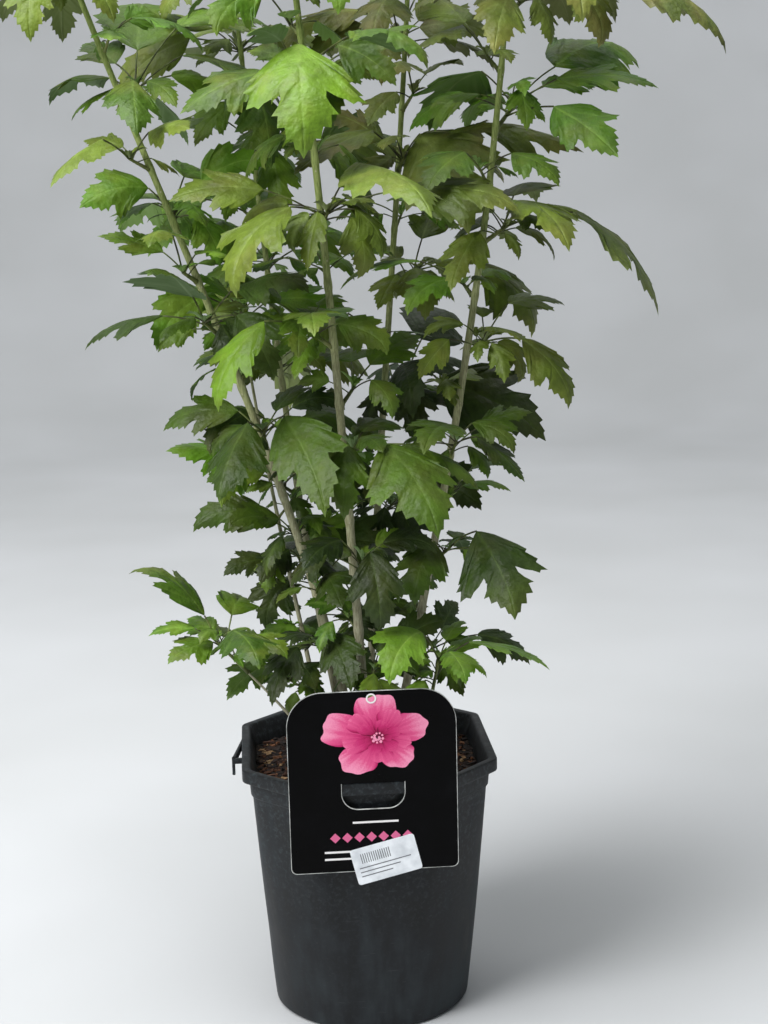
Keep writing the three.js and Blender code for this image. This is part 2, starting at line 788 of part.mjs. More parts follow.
// One try at a leaf: later tries turn further and are smaller
function leafTry(shoot, index, attempt) {
  const draw = seeded(shoot.seed + index * LEAF_SEED_STEP + attempt * TRY_SEED_STEP);
  const loose = LOOSE_TURN + LOOSER_EACH_TRY * attempt;
  const turn = shoot.atTip ? index * GOLDEN_ANGLE : LEAF_TURNS[index];
  const angle = shoot.angle + (turn + mix(-loose, loose, draw())) * DEGREE;
  const share = shoot.atTip ? mix(1, TIP_SHARE, index / LEAVES_ON_TIP) : LEAF_SHARES[index];
  const length = shoot.lead * share * between(LENGTH_SPREAD, draw) * Math.pow(SMALLER_EACH_TRY, attempt);
  const stalkRise = (between(STALK_RISE, draw) + (shoot.atTip ? TIP_EXTRA_RISE : 0)) * DEGREE;
  const stalk = length * between(STALK_SHARE, draw);
  const place = mix(ROOT_LAST, ROOT_FIRST, index / (shoot.leaves - 1));
  const root = shoot.foot.clone().lerp(shoot.tip, place);
  const base = root.clone().addScaledVector(heading(angle, stalkRise), stalk);
  const knee = between(KNEE, draw) * DEGREE;
  const light = between(LIGHT_TURN, draw) * DEGREE;
  return {
    root,
    base,
    angle,
    stalkRise,
    length,
    rise: stalkRise - knee + light * LIGHT_LIFT * Math.sin(angle),
    droop: between(DROOP, draw) * DEGREE,
    roll: between(ROLL, draw) * DEGREE + light * Math.cos(angle),
    fold: between(FOLD, draw),
  };
}

function fits(leaf, owner) {
  const free = (room, ownRoom) => (point) =>
    clearOfPot(point) && clearOfCanes(point, room) && clearOfLeaves(point, owner, ownRoom);
  return bladeSamples(leaf).every(free(CANE_ROOM, OWN_ROOM)) && stalkSamples(leaf).every(free(STALK_ROOM, 0));
}

// Twigs first, then the longest leaf of every shoot, then the next longest, so that all get room
function growShoots() {
  const shoots = [];
  Object.entries(CANES).forEach(([name, cane]) => {
    cane.sides.forEach((_, index) => shoots.push(sideShoot(cane, index, name)));
    shoots.push(tipShoot(cane, name));
  });
  shoots.forEach((shoot) => {
    const steps = Math.ceil(shoot.foot.distanceTo(shoot.tip) / SAMPLE_STEP);
    const samples = [];
    for (let i = 0; i <= steps; i++) samples.push(shoot.foot.clone().lerp(shoot.tip, i / steps));
    keep(samples, shoot.name);
    shoot.grown = [];
  });
  for (let index = 0; index < LEAVES_ON_TIP; index++) {
    shoots.forEach((shoot) => {
      for (let attempt = 0; index < shoot.leaves && attempt < LEAF_TRIES; attempt++) {
        const leaf = leafTry(shoot, index, attempt);
        if (!fits(leaf, shoot.name)) continue;
        keep([...bladeSamples(leaf), ...stalkSamples(leaf)], shoot.name);
        shoot.grown.push(leaf);
        break;
      }
    });
  }
  return shoots;
}

function spray(shoot) {
  let made = solid(twigSolid(shoot));
  shoot.grown.forEach((leaf) => (made = made.add(solid(leafSolid(leaf)))));
  return named(shoot.name, geometryOf(made), "leaf");
}

// Assembly

const potGroup = new THREE.Group();
potGroup.rotation.z = POT_TURN;
potGroup.add(pot(), soil(), card());

const plantGroup = new THREE.Group();
Object.entries(CANES).forEach(([name, cane]) => plantGroup.add(named(name, caneSolid(cane), "cane")));
growShoots().forEach((shoot) => plantGroup.add(spray(shoot)));

const shrub = new THREE.Group();
shrub.add(potGroup, plantGroup);

export default shrub;
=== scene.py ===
# The looks of a potted hibiscus shrub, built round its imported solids: canes with bark, toothed leaves in
# sprays, a moulded nursery pot, peat with bark chips, and a printed card label. Lengths are millimetres
# until a mesh is made. The plant grows by the same rule as its solids, and then on to finer leaves.
import math

import bpy
import numpy as np
from mathutils import Matrix, Vector, noise


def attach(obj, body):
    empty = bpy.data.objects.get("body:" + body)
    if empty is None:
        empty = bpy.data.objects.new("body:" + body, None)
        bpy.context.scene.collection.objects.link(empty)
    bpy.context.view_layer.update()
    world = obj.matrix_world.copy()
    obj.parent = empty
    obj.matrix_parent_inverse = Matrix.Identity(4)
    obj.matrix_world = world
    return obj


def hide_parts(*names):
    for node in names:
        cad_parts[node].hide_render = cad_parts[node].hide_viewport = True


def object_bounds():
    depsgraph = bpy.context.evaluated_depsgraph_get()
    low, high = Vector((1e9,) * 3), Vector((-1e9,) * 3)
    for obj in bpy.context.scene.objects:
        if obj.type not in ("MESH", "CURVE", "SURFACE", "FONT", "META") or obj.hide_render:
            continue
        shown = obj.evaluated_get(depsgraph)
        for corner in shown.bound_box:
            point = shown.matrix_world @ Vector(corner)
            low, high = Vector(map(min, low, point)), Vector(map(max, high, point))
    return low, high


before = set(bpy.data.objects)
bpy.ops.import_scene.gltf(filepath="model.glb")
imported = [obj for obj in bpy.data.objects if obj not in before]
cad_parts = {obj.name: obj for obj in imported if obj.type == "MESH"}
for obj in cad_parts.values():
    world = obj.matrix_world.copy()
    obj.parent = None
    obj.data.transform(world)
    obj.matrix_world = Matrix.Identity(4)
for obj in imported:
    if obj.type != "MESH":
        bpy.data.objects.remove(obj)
CAD_LOW, CAD_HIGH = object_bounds()

MM = 0.001
DEGREE = math.pi / 180
UP = np.array([0.0, 0.0, 1.0])

# Camera, where the photograph was taken from
CAMERA_PLACE = (17.6, -1225, 597)
CAMERA_DOWN = 11.05
CAMERA_ROLL = -1.42
FOCAL_PIXELS = 1773
LONG_SIDE_PIXELS = 1024
SENSOR = 36

# Pot, as in the solids
POT_HEIGHT = 190
POT_TURN = 4.2 * DEGREE
POT_WALL = 2.4
FLOOR_THICKNESS = 4
FOOT_RADIUS = 71
FOOT_EDGE = 3
BODY_FLAT = 83
BODY_ROUND = 96
BODY_CUT = 34
CUT_INSET = 2 - math.sqrt(2)
RIM_FLAT = 89
RIM_CUT = 36.5
RIM_DEPTH = 9
RIM_LEDGE = 5.5
BAND_DEPTH = 22
BAND_STEP = 1.2
DRAIN_RADIUS = 6
DRAIN_RING = 48
DRAIN_HOLES = 4
LUG_OUT = 6
LUG_BACK = 25
LUG_FRONT = -19
LUG_DROP = 2
LUG_HEIGHT = 5
LUG_BAR = 2.2
LUG_TOOTH = 8
LUG_TOOTH_LENGTH = 4
LUG_TOOTH_TAPER = 0.45
POT_STEPS = 288
BODY_STEPS = 26
CORNER_SOFTNESS = 1.1
MOULD_RADIUS = 1.0
WAVINESS = 0.5
SHARP_FROM = 40 * DEGREE

# Soil
SOIL_TOP = 178
SOIL_EDGE_DROP = 3
SOIL_ROOM = 2
SOIL_SPREAD = 3.2
SOIL_RINGS = 70
SOIL_STEPS = 200
SOIL_RELIEF = 2.6
CHIP_COUNT = 900
CRUMB_COUNT = 420
CHIP_SEED = 4100
CHIP_SIZES = ((3, 13), (2, 5), (0.8, 2.2))
CRUMB_SIZE = (1, 2.8)
CHIP_RAGGED = (0.55, 1)
CHIP_TILT = (-0.5, 0.5)

# Card label, in the pot's turned frame
CARD_WIDTH = 114
CARD_BOTTOM = 127.5
CARD_TOP = 254.5
CARD_THICKNESS = 0.9
CARD_MIDDLE = -0.8
CARD_CORNER = 24
CARD_FOOT_CORNER = 4
INK_MARGIN = 0.42
INK_THICKNESS = 0.05
CARD_HOLE_RADIUS = 2.2
CARD_HOLE_DROP = 5.3
TONGUE_WIDTH = 42.5
TONGUE_REACH = 18.5
TONGUE_INSIDE = 9
GAP = 0.3

# Canes, as in the solids: foot at the root height, slope there, tip, slope at the tip, thickness, height
# of the lowest leafy shoot, the gap between shoots, and the side that each shoot faces
ROOT_HEIGHT = 158.3
CANES = {
    "cane_left": dict(
        foot=(-3, -8), lean=(-0.12, -0.02), tip=(-222, -28, 872), end=(-0.25, 0),
        thick=6.6, first=262, gap=75, sides=(225, 95, 292, 246, 87, 38, 194, 10),
    ),
    "cane_back_left": dict(
        foot=(-8, 14), lean=(-0.22, 0.05), tip=(-93, 82, 848), end=(-0.12, 0.06),
        thick=5.6, first=290, gap=77, sides=(97, 188, 95, 92, 48, 100, 135),
    ),
    "cane_front": dict(
        foot=(4, -24), lean=(-0.05, -0.06), tip=(-53, -75, 902), end=(-0.14, -0.03),
        thick=6.8, first=241, gap=80, sides=(290, 297, 287, 205, 300, 254, 352, 222),
    ),
    "cane_back": dict(
        foot=(2, 26), lean=(0.03, 0.05), tip=(51, 68, 868), end=(0.03, 0.03),
        thick=6, first=262, gap=83, sides=(125, 42, 2, 10, 290, 120, 62),
    ),
    "cane_right": dict(
        foot=(14, 2), lean=(0.23, -0.04), tip=(114, -29, 886), end=(0, 0),
        thick=6.4, first=250, gap=74, sides=(20, 305, 275, 332, 2, 49, 350, 285),
    ),
    "cane_slender": dict(
        foot=(-24, 8), lean=(-0.16, 0.02), tip=(-76, 22, 470), end=(-0.12, 0.02),
        thick=4, first=224, gap=86, sides=(212, 345),
    ),
    "shoot_left": dict(
        foot=(-18, -22), lean=(-0.3, -0.12), tip=(-80, -42, 256), end=(-0.9, -0.1),
        thick=3.2, first=0, gap=0, sides=(),
    ),
    "shoot_right": dict(
        foot=(26, -26), lean=(0.2, -0.25), tip=(47, -48, 236), end=(0.2, -0.2),
        thick=3, first=0, gap=0, sides=(),
    ),
}
CANE_TIP_SHARE = 0.45
CANE_SUNK = 5
CANE_RINGS_APART = 3
CANE_ROUND = 22
NODE_SWELL = 0.2
NODE_LENGTH = 3.2
FOOT_SWELL = 0.16
FOOT_SWELL_LENGTH = 12
BARK_RELIEF = 0.1

# The rule of growth, as in the solids
GROWTH_SEED = 3471
CANE_SEED_STEP = 31
TIP_SEED_STEP = 17
SHOOT_SEED_STEP = 7
LEAF_SEED_STEP = 101
TRY_SEED_STEP = 13
SEED_RANGE = 1e9
TWIG_RADIUS = 1.6
TWIG_TIP_RADIUS = 1.35
TWIG_LENGTH = (8, 28)
TWIG_RISE = 42 * DEGREE
TIP_TWIG = 30
LEAVES_ON_SHOOT = 6
LEAF_TRIES = 10
LEAF_TURNS = (0, 62, -58, 118, -112, 28)
LEAF_SHARES = (1, 0.84, 0.8, 0.68, 0.64, 0.56)
LEAD_LENGTH = (66, 98)
LOW_SHARE = 0.5
LOW_REACH = 360
SIDE_SPREAD = (-8, 8)
TIP_LEAF = 62
GOLDEN_ANGLE = 137.5
ROOT_FIRST = 0.3
ROOT_LAST = 0.96
TIP_SHARE = 0.6
TIP_EXTRA_RISE = 15
LENGTH_SPREAD = (0.9, 1.12)
STALK_SHARE = (0.3, 0.7)
STALK_RISE = (5, 50)
KNEE = (5, 45)
DROOP = (15, 60)
ROLL = (-28, 28)
LIGHT_TURN = (5, 50)
LIGHT_LIFT = 0.6
FOLD = (-0.1, 0.35)
LOOSE_TURN = 16
LOOSER_EACH_TRY = 10
SMALLER_EACH_TRY = 0.94
SOLID_EDGE = ((0, 0), (0.06, 0.2), (0.4, 0.4), (0.54, 0.2), (1, 0))
SAMPLE_STEP = 4
LEAF_ROOM = 7.2
OWN_ROOM = 5.5
CANE_ROOM = 4
STALK_ROOM = 1.8
POT_ROOM = 5

# Finer growth: young leaves on every shoot, and spurs on the canes between the shoots
YOUNG_SEED = 5200
YOUNG_LEAVES = 8
YOUNG_SHARE = (0.22, 0.62)
SPUR_SEED = 7700
SPUR_LENGTH = (7, 16)
SPUR_LEAD = (52, 78)
SPUR_SHARES = (1, 0.75, 0.6, 0.4)
SPUR_TURNS = (0, 75, -70, 150)
SPUR_LOWEST = 184
SPUR_AWAY = (150, 190)
SPUR_LAST = 0.6
YOUNG_TURN = 70
YOUNG_PLACES = (0.98, 0.35)
FINE_ROOM = 4.2
FINE_OWN_ROOM = 3
FINE_CANE_ROOM = 2.2
SMALL_LEAF = 34
BUD_LEAF = (7, 15)
BUD_LEAVES = 4
BUD_RISE = (35, 75)
BUD_DROOP = (10, 60)
BUD_FOLD = -0.5

# Half of a leaf's outline from its foot to its tip: place along the midrib, distance off it, and the
# strength of the vein that ends there in a tooth or a lobe. Lengths are shares of the leaf's length.
LOBED_EDGE = (
    (0, 0, 0), (0.035, 0.06, 0), (0.09, 0.148, 0), (0.17, 0.235, 0),
    (0.26, 0.31, 0), (0.35, 0.37, 0.5), (0.375, 0.335, 0), (0.45, 0.415, 0.5),
    (0.478, 0.375, 0), (0.575, 0.43, 1), (0.57, 0.365, 0), (0.605, 0.335, 0.3),
    (0.565, 0.285, 0), (0.545, 0.225, 0), (0.495, 0.152, 0), (0.56, 0.15, 0),
    (0.62, 0.18, 0), (0.69, 0.24, 0.6), (0.695, 0.19, 0), (0.785, 0.2, 0.5),
    (0.782, 0.14, 0), (0.868, 0.128, 0.4), (0.862, 0.08, 0), (0.935, 0.06, 0.3),
    (0.938, 0.035, 0), (1, 0, 0.6),
)
SHALLOW_EDGE = (
    (0, 0, 0), (0.035, 0.062, 0), (0.09, 0.15, 0), (0.17, 0.228, 0),
    (0.26, 0.285, 0), (0.35, 0.33, 0.5), (0.375, 0.295, 0), (0.445, 0.355, 0.5),
    (0.47, 0.315, 0), (0.55, 0.36, 1), (0.56, 0.315, 0), (0.595, 0.312, 0.3),
    (0.58, 0.285, 0), (0.578, 0.255, 0), (0.57, 0.225, 0), (0.61, 0.21, 0),
    (0.645, 0.222, 0), (0.7, 0.25, 0.6), (0.708, 0.2, 0), (0.79, 0.198, 0.5),
    (0.79, 0.145, 0), (0.87, 0.128, 0.4), (0.866, 0.082, 0), (0.935, 0.06, 0.3),
    (0.938, 0.035, 0), (1, 0, 0.6),
)
SMALL_ROWS = (0, 2, 4, 5, 6, 7, 8, 9, 12, 14, 16, 17, 18, 19, 20, 21, 22, 25)
LEAF_COLUMNS = (0, 0.07, 0.36, 0.68, 1)
SMALL_COLUMNS = (0, 0.5, 1)
BLADE_THICKNESS = 0.34
QUILT = 0.006
RIB_DEPTH = 0.006
CURL = (0, 55)
RUFFLE = 0.044
RUFFLE_SHARE = (0.3, 1.2)
RUFFLE_WAVES = 2.6
LOBE_DROOP = 0.05
LOBING = (0.3, 1.1)
YOUNG_LOBING = (0.2, 0.9)
LEAF_WIDTH = (0.68, 0.98)
UNEVEN = 0.1
WIDEST = 0.4
UNDER_RIB = 2.4
VEIN_STRENGTH = 0.6
STALK_RADIUS = 0.62
STALK_ARCH = 0.05
STALK_STEPS = 7
STALK_ROUND = 6
TWIG_ROUND = 8
FULL_LEAF_LENGTH = 60
FULL_LEAD = 74


def link(thing):
    bpy.context.scene.collection.objects.link(thing)
    return thing


def make_camera():
    data = bpy.data.cameras.new("camera")
    data.sensor_width = SENSOR
    data.lens = FOCAL_PIXELS / LONG_SIDE_PIXELS * SENSOR
    camera = link(bpy.data.objects.new("camera", data))
    place = Matrix.Translation(Vector(CAMERA_PLACE) * MM)
    tilt = Matrix.Rotation((90 - CAMERA_DOWN) * DEGREE, 4, "X")
    camera.matrix_world = place @ tilt @ Matrix.Rotation(CAMERA_ROLL * DEGREE, 4, "Z")
    bpy.context.scene.camera = camera


make_camera()


# Numbers


def mix(a, b, t):
    return a + (b - a) * t


def product32(a, b):
    return (a * b) & 0xFFFFFFFF


def seeded(seed):
    """The solids' generator of numbers from 0 to 1, step for step."""
    state = int(seed) & 0xFFFFFFFF

    def draw():
        nonlocal state
        state = (state + 0x6D2B79F5) & 0xFFFFFFFF
        t = product32(state ^ (state >> 15), state | 1)
        t ^= (t + product32(t ^ (t >> 7), t | 61)) & 0xFFFFFFFF
        return (t ^ (t >> 14)) / 4294967296

    return draw


def between(limits, draw):
    return mix(limits[0], limits[1], draw())


def unit(vector):
    return vector / np.linalg.norm(vector)


def directions(path):
    """Unit directions along a path, one for each point."""
    along = np.gradient(path, axis=0)
    return along / np.linalg.norm(along, axis=1)[:, None]


def round_turns(count):
    return np.arange(count) / count * 2 * math.pi


def spun(x, y, angle):
    """Coordinates turned about the origin."""
    c, s = math.cos(angle), math.sin(angle)
    return x * c - y * s, x * s + y * c


def heading(angle, rise):
    """Directions, one for each rise, as rows; a single rise gives one vector."""
    rise = np.asarray(rise, float)
    flat = np.cos(rise)
    return np.stack([math.cos(angle) * flat, math.sin(angle) * flat, np.sin(rise)], axis=-1)


# Joined meshes


class Joined:
    """Many closed shapes of one kind, joined into one piece from arrays."""

    def __init__(self):
        self.points, self.faces, self.slots = [], [], []
        self.marks, self.rims, self.nodes = {}, [], []
        self.count = 0

    def take(self, points, faces, slots=None, rims=None, **marks):
        points = np.asarray(points, float)
        self.points.append(points)
        self.faces += [tuple(corner + self.count for corner in face) for face in faces]
        self.slots.append(np.zeros(len(faces), int) if slots is None else slots)
        self.rims.append(np.zeros(len(points), bool) if rims is None else rims)
        for name, values in marks.items():
            self.marks.setdefault(name, []).append(np.broadcast_to(values, len(points)))
        self.count += len(points)

    def piece(self, name, materials, slot, replaced=(), smooth=True):
        mesh = bpy.data.meshes.new(name)
        mesh.from_pydata(np.concatenate(self.points) * MM, [], self.faces)
        mesh.polygons.foreach_set("material_index", np.concatenate(self.slots).astype(np.int32))
        mesh.polygons.foreach_set("use_smooth", np.full(len(self.faces), smooth))
        for mark, values in self.marks.items():
            data = mesh.attributes.new(mark, "FLOAT", "POINT").data
            data.foreach_set("value", np.concatenate(values).astype(np.float32))
        self.split_at_rims(mesh)
        for material in materials:
            mesh.materials.append(material)
        return settle(bpy.data.objects.new(name, mesh), replaced or self.nodes)

    def split_at_rims(self, mesh):
        """Shades the two sides of a blade apart at the edge that they share."""
        rims = np.concatenate(self.rims)
        if not rims.any():
            return
        ends = np.zeros(len(mesh.edges) * 2, np.int32)
        mesh.edges.foreach_get("vertices", ends)
        ends = ends.reshape(-1, 2)
        data = mesh.attributes.new("sharp_edge", "BOOLEAN", "EDGE").data
        data.foreach_set("value", rims[ends[:, 0]] & rims[ends[:, 1]])


def settle(piece, replaced=()):
    """Links a piece, lets it ride with the part, and hides the solids it stands for."""
    link(piece)
    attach(piece, "root")
    if replaced:
        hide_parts(*replaced)
    return piece


def single(name, shape, material, slot, node, smooth=True):
    """A piece made of one shape, given as its points and faces."""
    joined = Joined()
    joined.take(*shape)
    return joined.piece(name, (material,), slot, (node,), smooth)


def evaluated_mesh(thing):
    bpy.context.view_layer.update()
    return bpy.data.meshes.new_from_object(thing.evaluated_get(bpy.context.evaluated_depsgraph_get()))


def lofted(rings):
    """Points and faces of a closed solid through rings, with flat ends."""
    rings = np.asarray(rings, float)
    count, around = rings.shape[:2]
    faces = []
    for row in range(0, (count - 1) * around, around):
        for i in range(around):
            a, b = row + i, row + (i + 1) % around
            faces.append((a, b, b + around, a + around))
    last = (count - 1) * around
    faces.append(tuple(range(around - 1, -1, -1)))
    faces.append(tuple(last + i for i in range(around)))
    return rings.reshape(-1, 3), faces


def tube(path, radii, sides):
    """A closed tube; radii has one value for each ring, or one for each ring and side."""
    path = np.asarray(path, float)
    radii = np.asarray(radii, float).reshape(len(path), -1) * np.ones(sides)
    along = directions(path)
    level = np.eye(3)[np.argmin(np.abs(along[0]))]
    turns = round_turns(sides)
    rings = []
    for middle, forward, radius in zip(path, along, radii):
        level = unit(level - forward * (level @ forward))
        other = np.cross(forward, level)
        spokes = np.outer(np.cos(turns), level) + np.outer(np.sin(turns), other)
        rings.append(middle + spokes * radius[:, None])
    return lofted(rings)


def turned(points):
    """Points of the pot's frame, turned with the pot."""
    x, y, z = np.asarray(points, float).T
    return np.stack([*spun(x, y, POT_TURN), z], axis=-1)


# Materials


def linear(shade):
    """An sRGB hex colour as linear numbers with alpha."""
    parts = [int(shade[i : i + 2], 16) / 255 for i in (1, 3, 5)]
    return (*[p / 12.92 if p <= 0.04045 else ((p + 0.055) / 1.055) ** 2.4 for p in parts], 1)


def add(tree, kind, inputs=(), stops=(), out=0, **settings):
    """Adds a node with its settings and returns one of its outputs, if it has any. Inputs are
    {socket: value, hex colour or the output linked to it}."""
    node = tree.nodes.new("ShaderNode" + kind)
    for name, value in settings.items():
        setattr(node, name, value)
    for socket, value in dict(inputs).items():
        if isinstance(value, bpy.types.NodeSocket):
            tree.links.new(value, node.inputs[socket])
        else:
            node.inputs[socket].default_value = linear(value) if isinstance(value, str) else value
    for place, shade in stops[len(node.color_ramp.elements) :] if stops else ():
        node.color_ramp.elements.new(place)
    for index, (place, shade) in enumerate(stops):
        node.color_ramp.elements[index].position = place
        node.color_ramp.elements[index].color = linear(shade)
    return node.outputs[out] if node.outputs else node


def new_material(name):
    """A material with an empty tree, and the places of the part in millimetres."""
    material = bpy.data.materials.new(name)
    material.use_nodes = True
    tree = material.node_tree
    tree.nodes.clear()
    place = add(tree, "TexCoord", out="Object")
    return material, tree, add(tree, "VectorMath", {0: place, 1: (1 / MM,) * 3}, operation="MULTIPLY")


def shine(material, tree, colour, rough, **sockets):
    """Ends a tree in a Principled shader. Underscores in names of sockets stand for spaces."""
    inputs = {"Base Color": colour, "Roughness": rough}
    inputs.update((name.replace("_", " "), value) for name, value in sockets.items())
    add(tree, "OutputMaterial", {"Surface": add(tree, "BsdfPrincipled", inputs)})
    return material


# Fresh leaf, upper side: a waxy cuticle over green tissue, with a satin sheen that greys the green where
# it faces the light, paler veins, a puckered blade, and patches that have begun to turn.
def leaf_upper(name, greens, pale, tip):
    material, tree, place = new_material(name)
    cloud = add(tree, "TexNoise", {"Vector": place, "Scale": 1 / 13, "Detail": 6, "Roughness": 0.62})
    marks = ("tone", "vein", "ripe")
    tone, vein, ripe = [add(tree, "Attribute", attribute_name=mark, out="Fac") for mark in marks]
    toned = add(tree, "MixRGB", {0: tone, 1: greens[0], 2: greens[1]})
    turning = add(tree, "TexNoise", {"Vector": place, "Scale": 1 / 34, "Detail": 3})
    patches = add(tree, "MapRange", {0: turning, 1: 0.48, 2: 0.66, 3: 0, 4: 0.7})
    flushed = add(tree, "MixRGB", {0: patches, 1: toned, 2: tip})
    tipped = add(tree, "MixRGB", {0: ripe, 1: flushed, 2: tip})
    veined = add(tree, "MixRGB", {0: vein, 1: tipped, 2: pale})
    patchy = add(tree, "MapRange", {0: cloud, 1: 0.3, 2: 0.7, 3: 0.68, 4: 1.24})
    colour = add(tree, "VectorMath", {0: veined, 1: patchy}, operation="MULTIPLY")
    pucker = add(tree, "TexNoise", {"Vector": place, "Scale": 1 / 5, "Detail": 2})
    puckered = add(tree, "Bump", {"Height": pucker, "Distance": 0.0016, "Strength": 0.7})
    cells = add(tree, "TexNoise", {"Vector": place, "Scale": 1 / 1.1, "Detail": 2})
    bump = add(tree, "Bump", {"Height": cells, "Distance": 0.0001, "Strength": 0.4, "Normal": puckered})
    rough = add(tree, "MapRange", {0: cloud, 1: 0.3, 2: 0.7, 3: 0.42, 4: 0.56})
    return shine(material, tree, colour, rough, Normal=bump, IOR=1.45, Specular_IOR_Level=0.36)


# Leaf underside: no wax but fine hairs and raised veins, so it is paler, greyer and quite matt
def leaf_under(name, greens, pale):
    material, tree, place = new_material(name)
    hairs = add(tree, "TexNoise", {"Vector": place, "Scale": 1 / 1.6, "Detail": 2})
    vein, tone = [add(tree, "Attribute", attribute_name=mark, out="Fac") for mark in ("vein", "tone")]
    toned = add(tree, "MixRGB", {0: tone, 1: greens[0], 2: greens[1]})
    veined = add(tree, "MixRGB", {0: vein, 1: toned, 2: pale})
    bump = add(tree, "Bump", {"Height": hairs, "Distance": 0.0001, "Strength": 0.4})
    return shine(material, tree, veined, 0.72, Normal=bump, IOR=1.4)


# Young hibiscus wood: grey-tan bark with fine splits low down, which turns into smooth olive green skin
# on this year's growth above. Pale pores are scattered over both.
def cane_bark():
    material, tree, place = new_material("hibiscus_bark")
    height = add(tree, "SeparateXYZ", {0: place}, out="Z")
    fibre = add(tree, "Mapping", {"Vector": place, "Scale": (1.3, 1.3, 0.16)})
    streak = add(tree, "TexNoise", {"Vector": fibre, "Scale": 1, "Detail": 5})
    patch = add(tree, "TexNoise", {"Vector": place, "Scale": 1 / 38, "Detail": 2})
    shift = add(tree, "MapRange", {0: patch, 3: -130, 4: 130})
    mottled = add(tree, "Math", {0: height, 1: shift}, operation="ADD")
    age = add(tree, "MapRange", {0: mottled, 1: 260, 2: 760})
    pale = ((0, "#aeab90"), (0.3, "#a5a57f"), (0.65, "#93a05c"), (1, "#889a4c"))
    dark = ((0, "#8b866c"), (0.3, "#807e5a"), (0.65, "#6e7c3c"), (1, "#64782f"))
    skin, grooves = [add(tree, "ValToRGB", {0: age}, stops) for stops in (pale, dark)]
    split = add(tree, "MapRange", {0: streak, 1: 0.36, 2: 0.6})
    barked = add(tree, "MixRGB", {0: split, 1: grooves, 2: skin})
    dots = add(tree, "Mapping", {"Vector": place, "Scale": (1, 1, 0.6)})
    pore = add(tree, "TexVoronoi", {"Vector": dots, "Scale": 1 / 3.4})
    on_pore = add(tree, "MapRange", {0: pore, 1: 0.11, 2: 0.17, 3: 0.7, 4: 0})
    colour = add(tree, "MixRGB", {0: on_pore, 1: barked, 2: "#bdb59c"})
    relief = add(tree, "Math", {0: streak, 1: on_pore}, operation="ADD")
    bump = add(tree, "Bump", {"Height": relief, "Distance": 0.0003, "Strength": 0.6})
    return shine(material, tree, colour, 0.68, Normal=bump, IOR=1.45)


# Green shoots and leaf stalks: smooth skin, olive with a dark reddish flush
def green_skin(name, shades):
    material, tree, place = new_material(name)
    flush = add(tree, "TexNoise", {"Vector": place, "Scale": 1 / 9, "Detail": 2})
    colour = add(tree, "ValToRGB", {0: flush}, tuple(zip((0.38, 0.5, 0.62), shades)))
    return shine(material, tree, colour, 0.5, IOR=1.45)


# Injection-moulded polypropylene with carbon black, handled and dusty: charcoal with a dull satin gloss,
# paler where dust and scuffs lie
def pot_plastic():
    material, tree, place = new_material("moulded_charcoal_polypropylene")
    height = add(tree, "SeparateXYZ", {0: place}, out="Z")
    drawn = add(tree, "Mapping", {"Vector": place, "Scale": (1, 1, 0.22)})
    streak = add(tree, "TexNoise", {"Vector": drawn, "Scale": 1 / 11, "Detail": 6})
    cloud = add(tree, "TexNoise", {"Vector": place, "Scale": 1 / 46, "Detail": 4})
    dust = add(tree, "Math", {0: streak, 1: cloud}, operation="MULTIPLY")
    rising = add(tree, "MapRange", {0: height, 1: 0, 2: 60, 3: 1.35, 4: 1})
    lying = add(tree, "Math", {0: dust, 1: rising}, operation="MULTIPLY")
    charcoal = ((0.14, "#0b0d0e"), (0.26, "#14171a"), (0.36, "#1f2427"), (0.5, "#2b3134"))
    colour = add(tree, "ValToRGB", {0: lying}, charcoal)
    scratch = add(tree, "Mapping", {"Vector": place, "Rotation": (0.4, 0.5, 0.3), "Scale": (0.05, 1, 1)})
    hair = add(tree, "TexNoise", {"Vector": scratch, "Scale": 1 / 1.4, "Detail": 2})
    thin = add(tree, "MapRange", {0: hair, 1: 0.68, 2: 0.74, 3: 0, 4: 0.4})
    scuffed = add(tree, "MixRGB", {0: thin, 1: colour, 2: "#363b3e"})
    speck = add(tree, "TexNoise", {"Vector": place, "Scale": 1 / 3.2, "Detail": 6, "Roughness": 0.7})
    higher = add(tree, "MapRange", {0: height, 1: 70, 2: 165, 3: 0.1, 4: 0.75})
    settled = add(tree, "MapRange", {0: speck, 1: 0.5, 2: 0.68, 3: 0, 4: higher})
    dusty = add(tree, "MixRGB", {0: settled, 1: scuffed, 2: "#394145"})
    grain = add(tree, "TexNoise", {"Vector": place, "Scale": 1 / 0.9, "Detail": 3})
    bump = add(tree, "Bump", {"Height": grain, "Distance": 0.00006, "Strength": 0.5})
    rough = add(tree, "MapRange", {0: lying, 1: 0.12, 2: 0.5, 3: 0.4, 4: 0.68})
    return shine(material, tree, dusty, rough, Normal=bump, IOR=1.49, Specular_IOR_Level=0.3)


# Peat and bark mix, moist: nearly black crumbs with rusty fibres, matt
def peat():
    material, tree, place = new_material("moist_peat")
    crumb = add(tree, "TexVoronoi", {"Vector": place, "Scale": 1 / 2.6, "Randomness": 1})
    fibre = add(tree, "TexNoise", {"Vector": place, "Scale": 1 / 3.5, "Detail": 6})
    browns = ((0.32, "#0a0706"), (0.5, "#1c110c"), (0.64, "#382316"), (0.74, "#573a22"))
    colour = add(tree, "ValToRGB", {0: fibre}, browns)
    relief = add(tree, "Math", {0: crumb, 1: fibre}, operation="ADD")
    bump = add(tree, "Bump", {"Height": relief, "Distance": 0.0012, "Strength": 0.9})
    return shine(material, tree, colour, 0.93, Normal=bump, IOR=1.45)


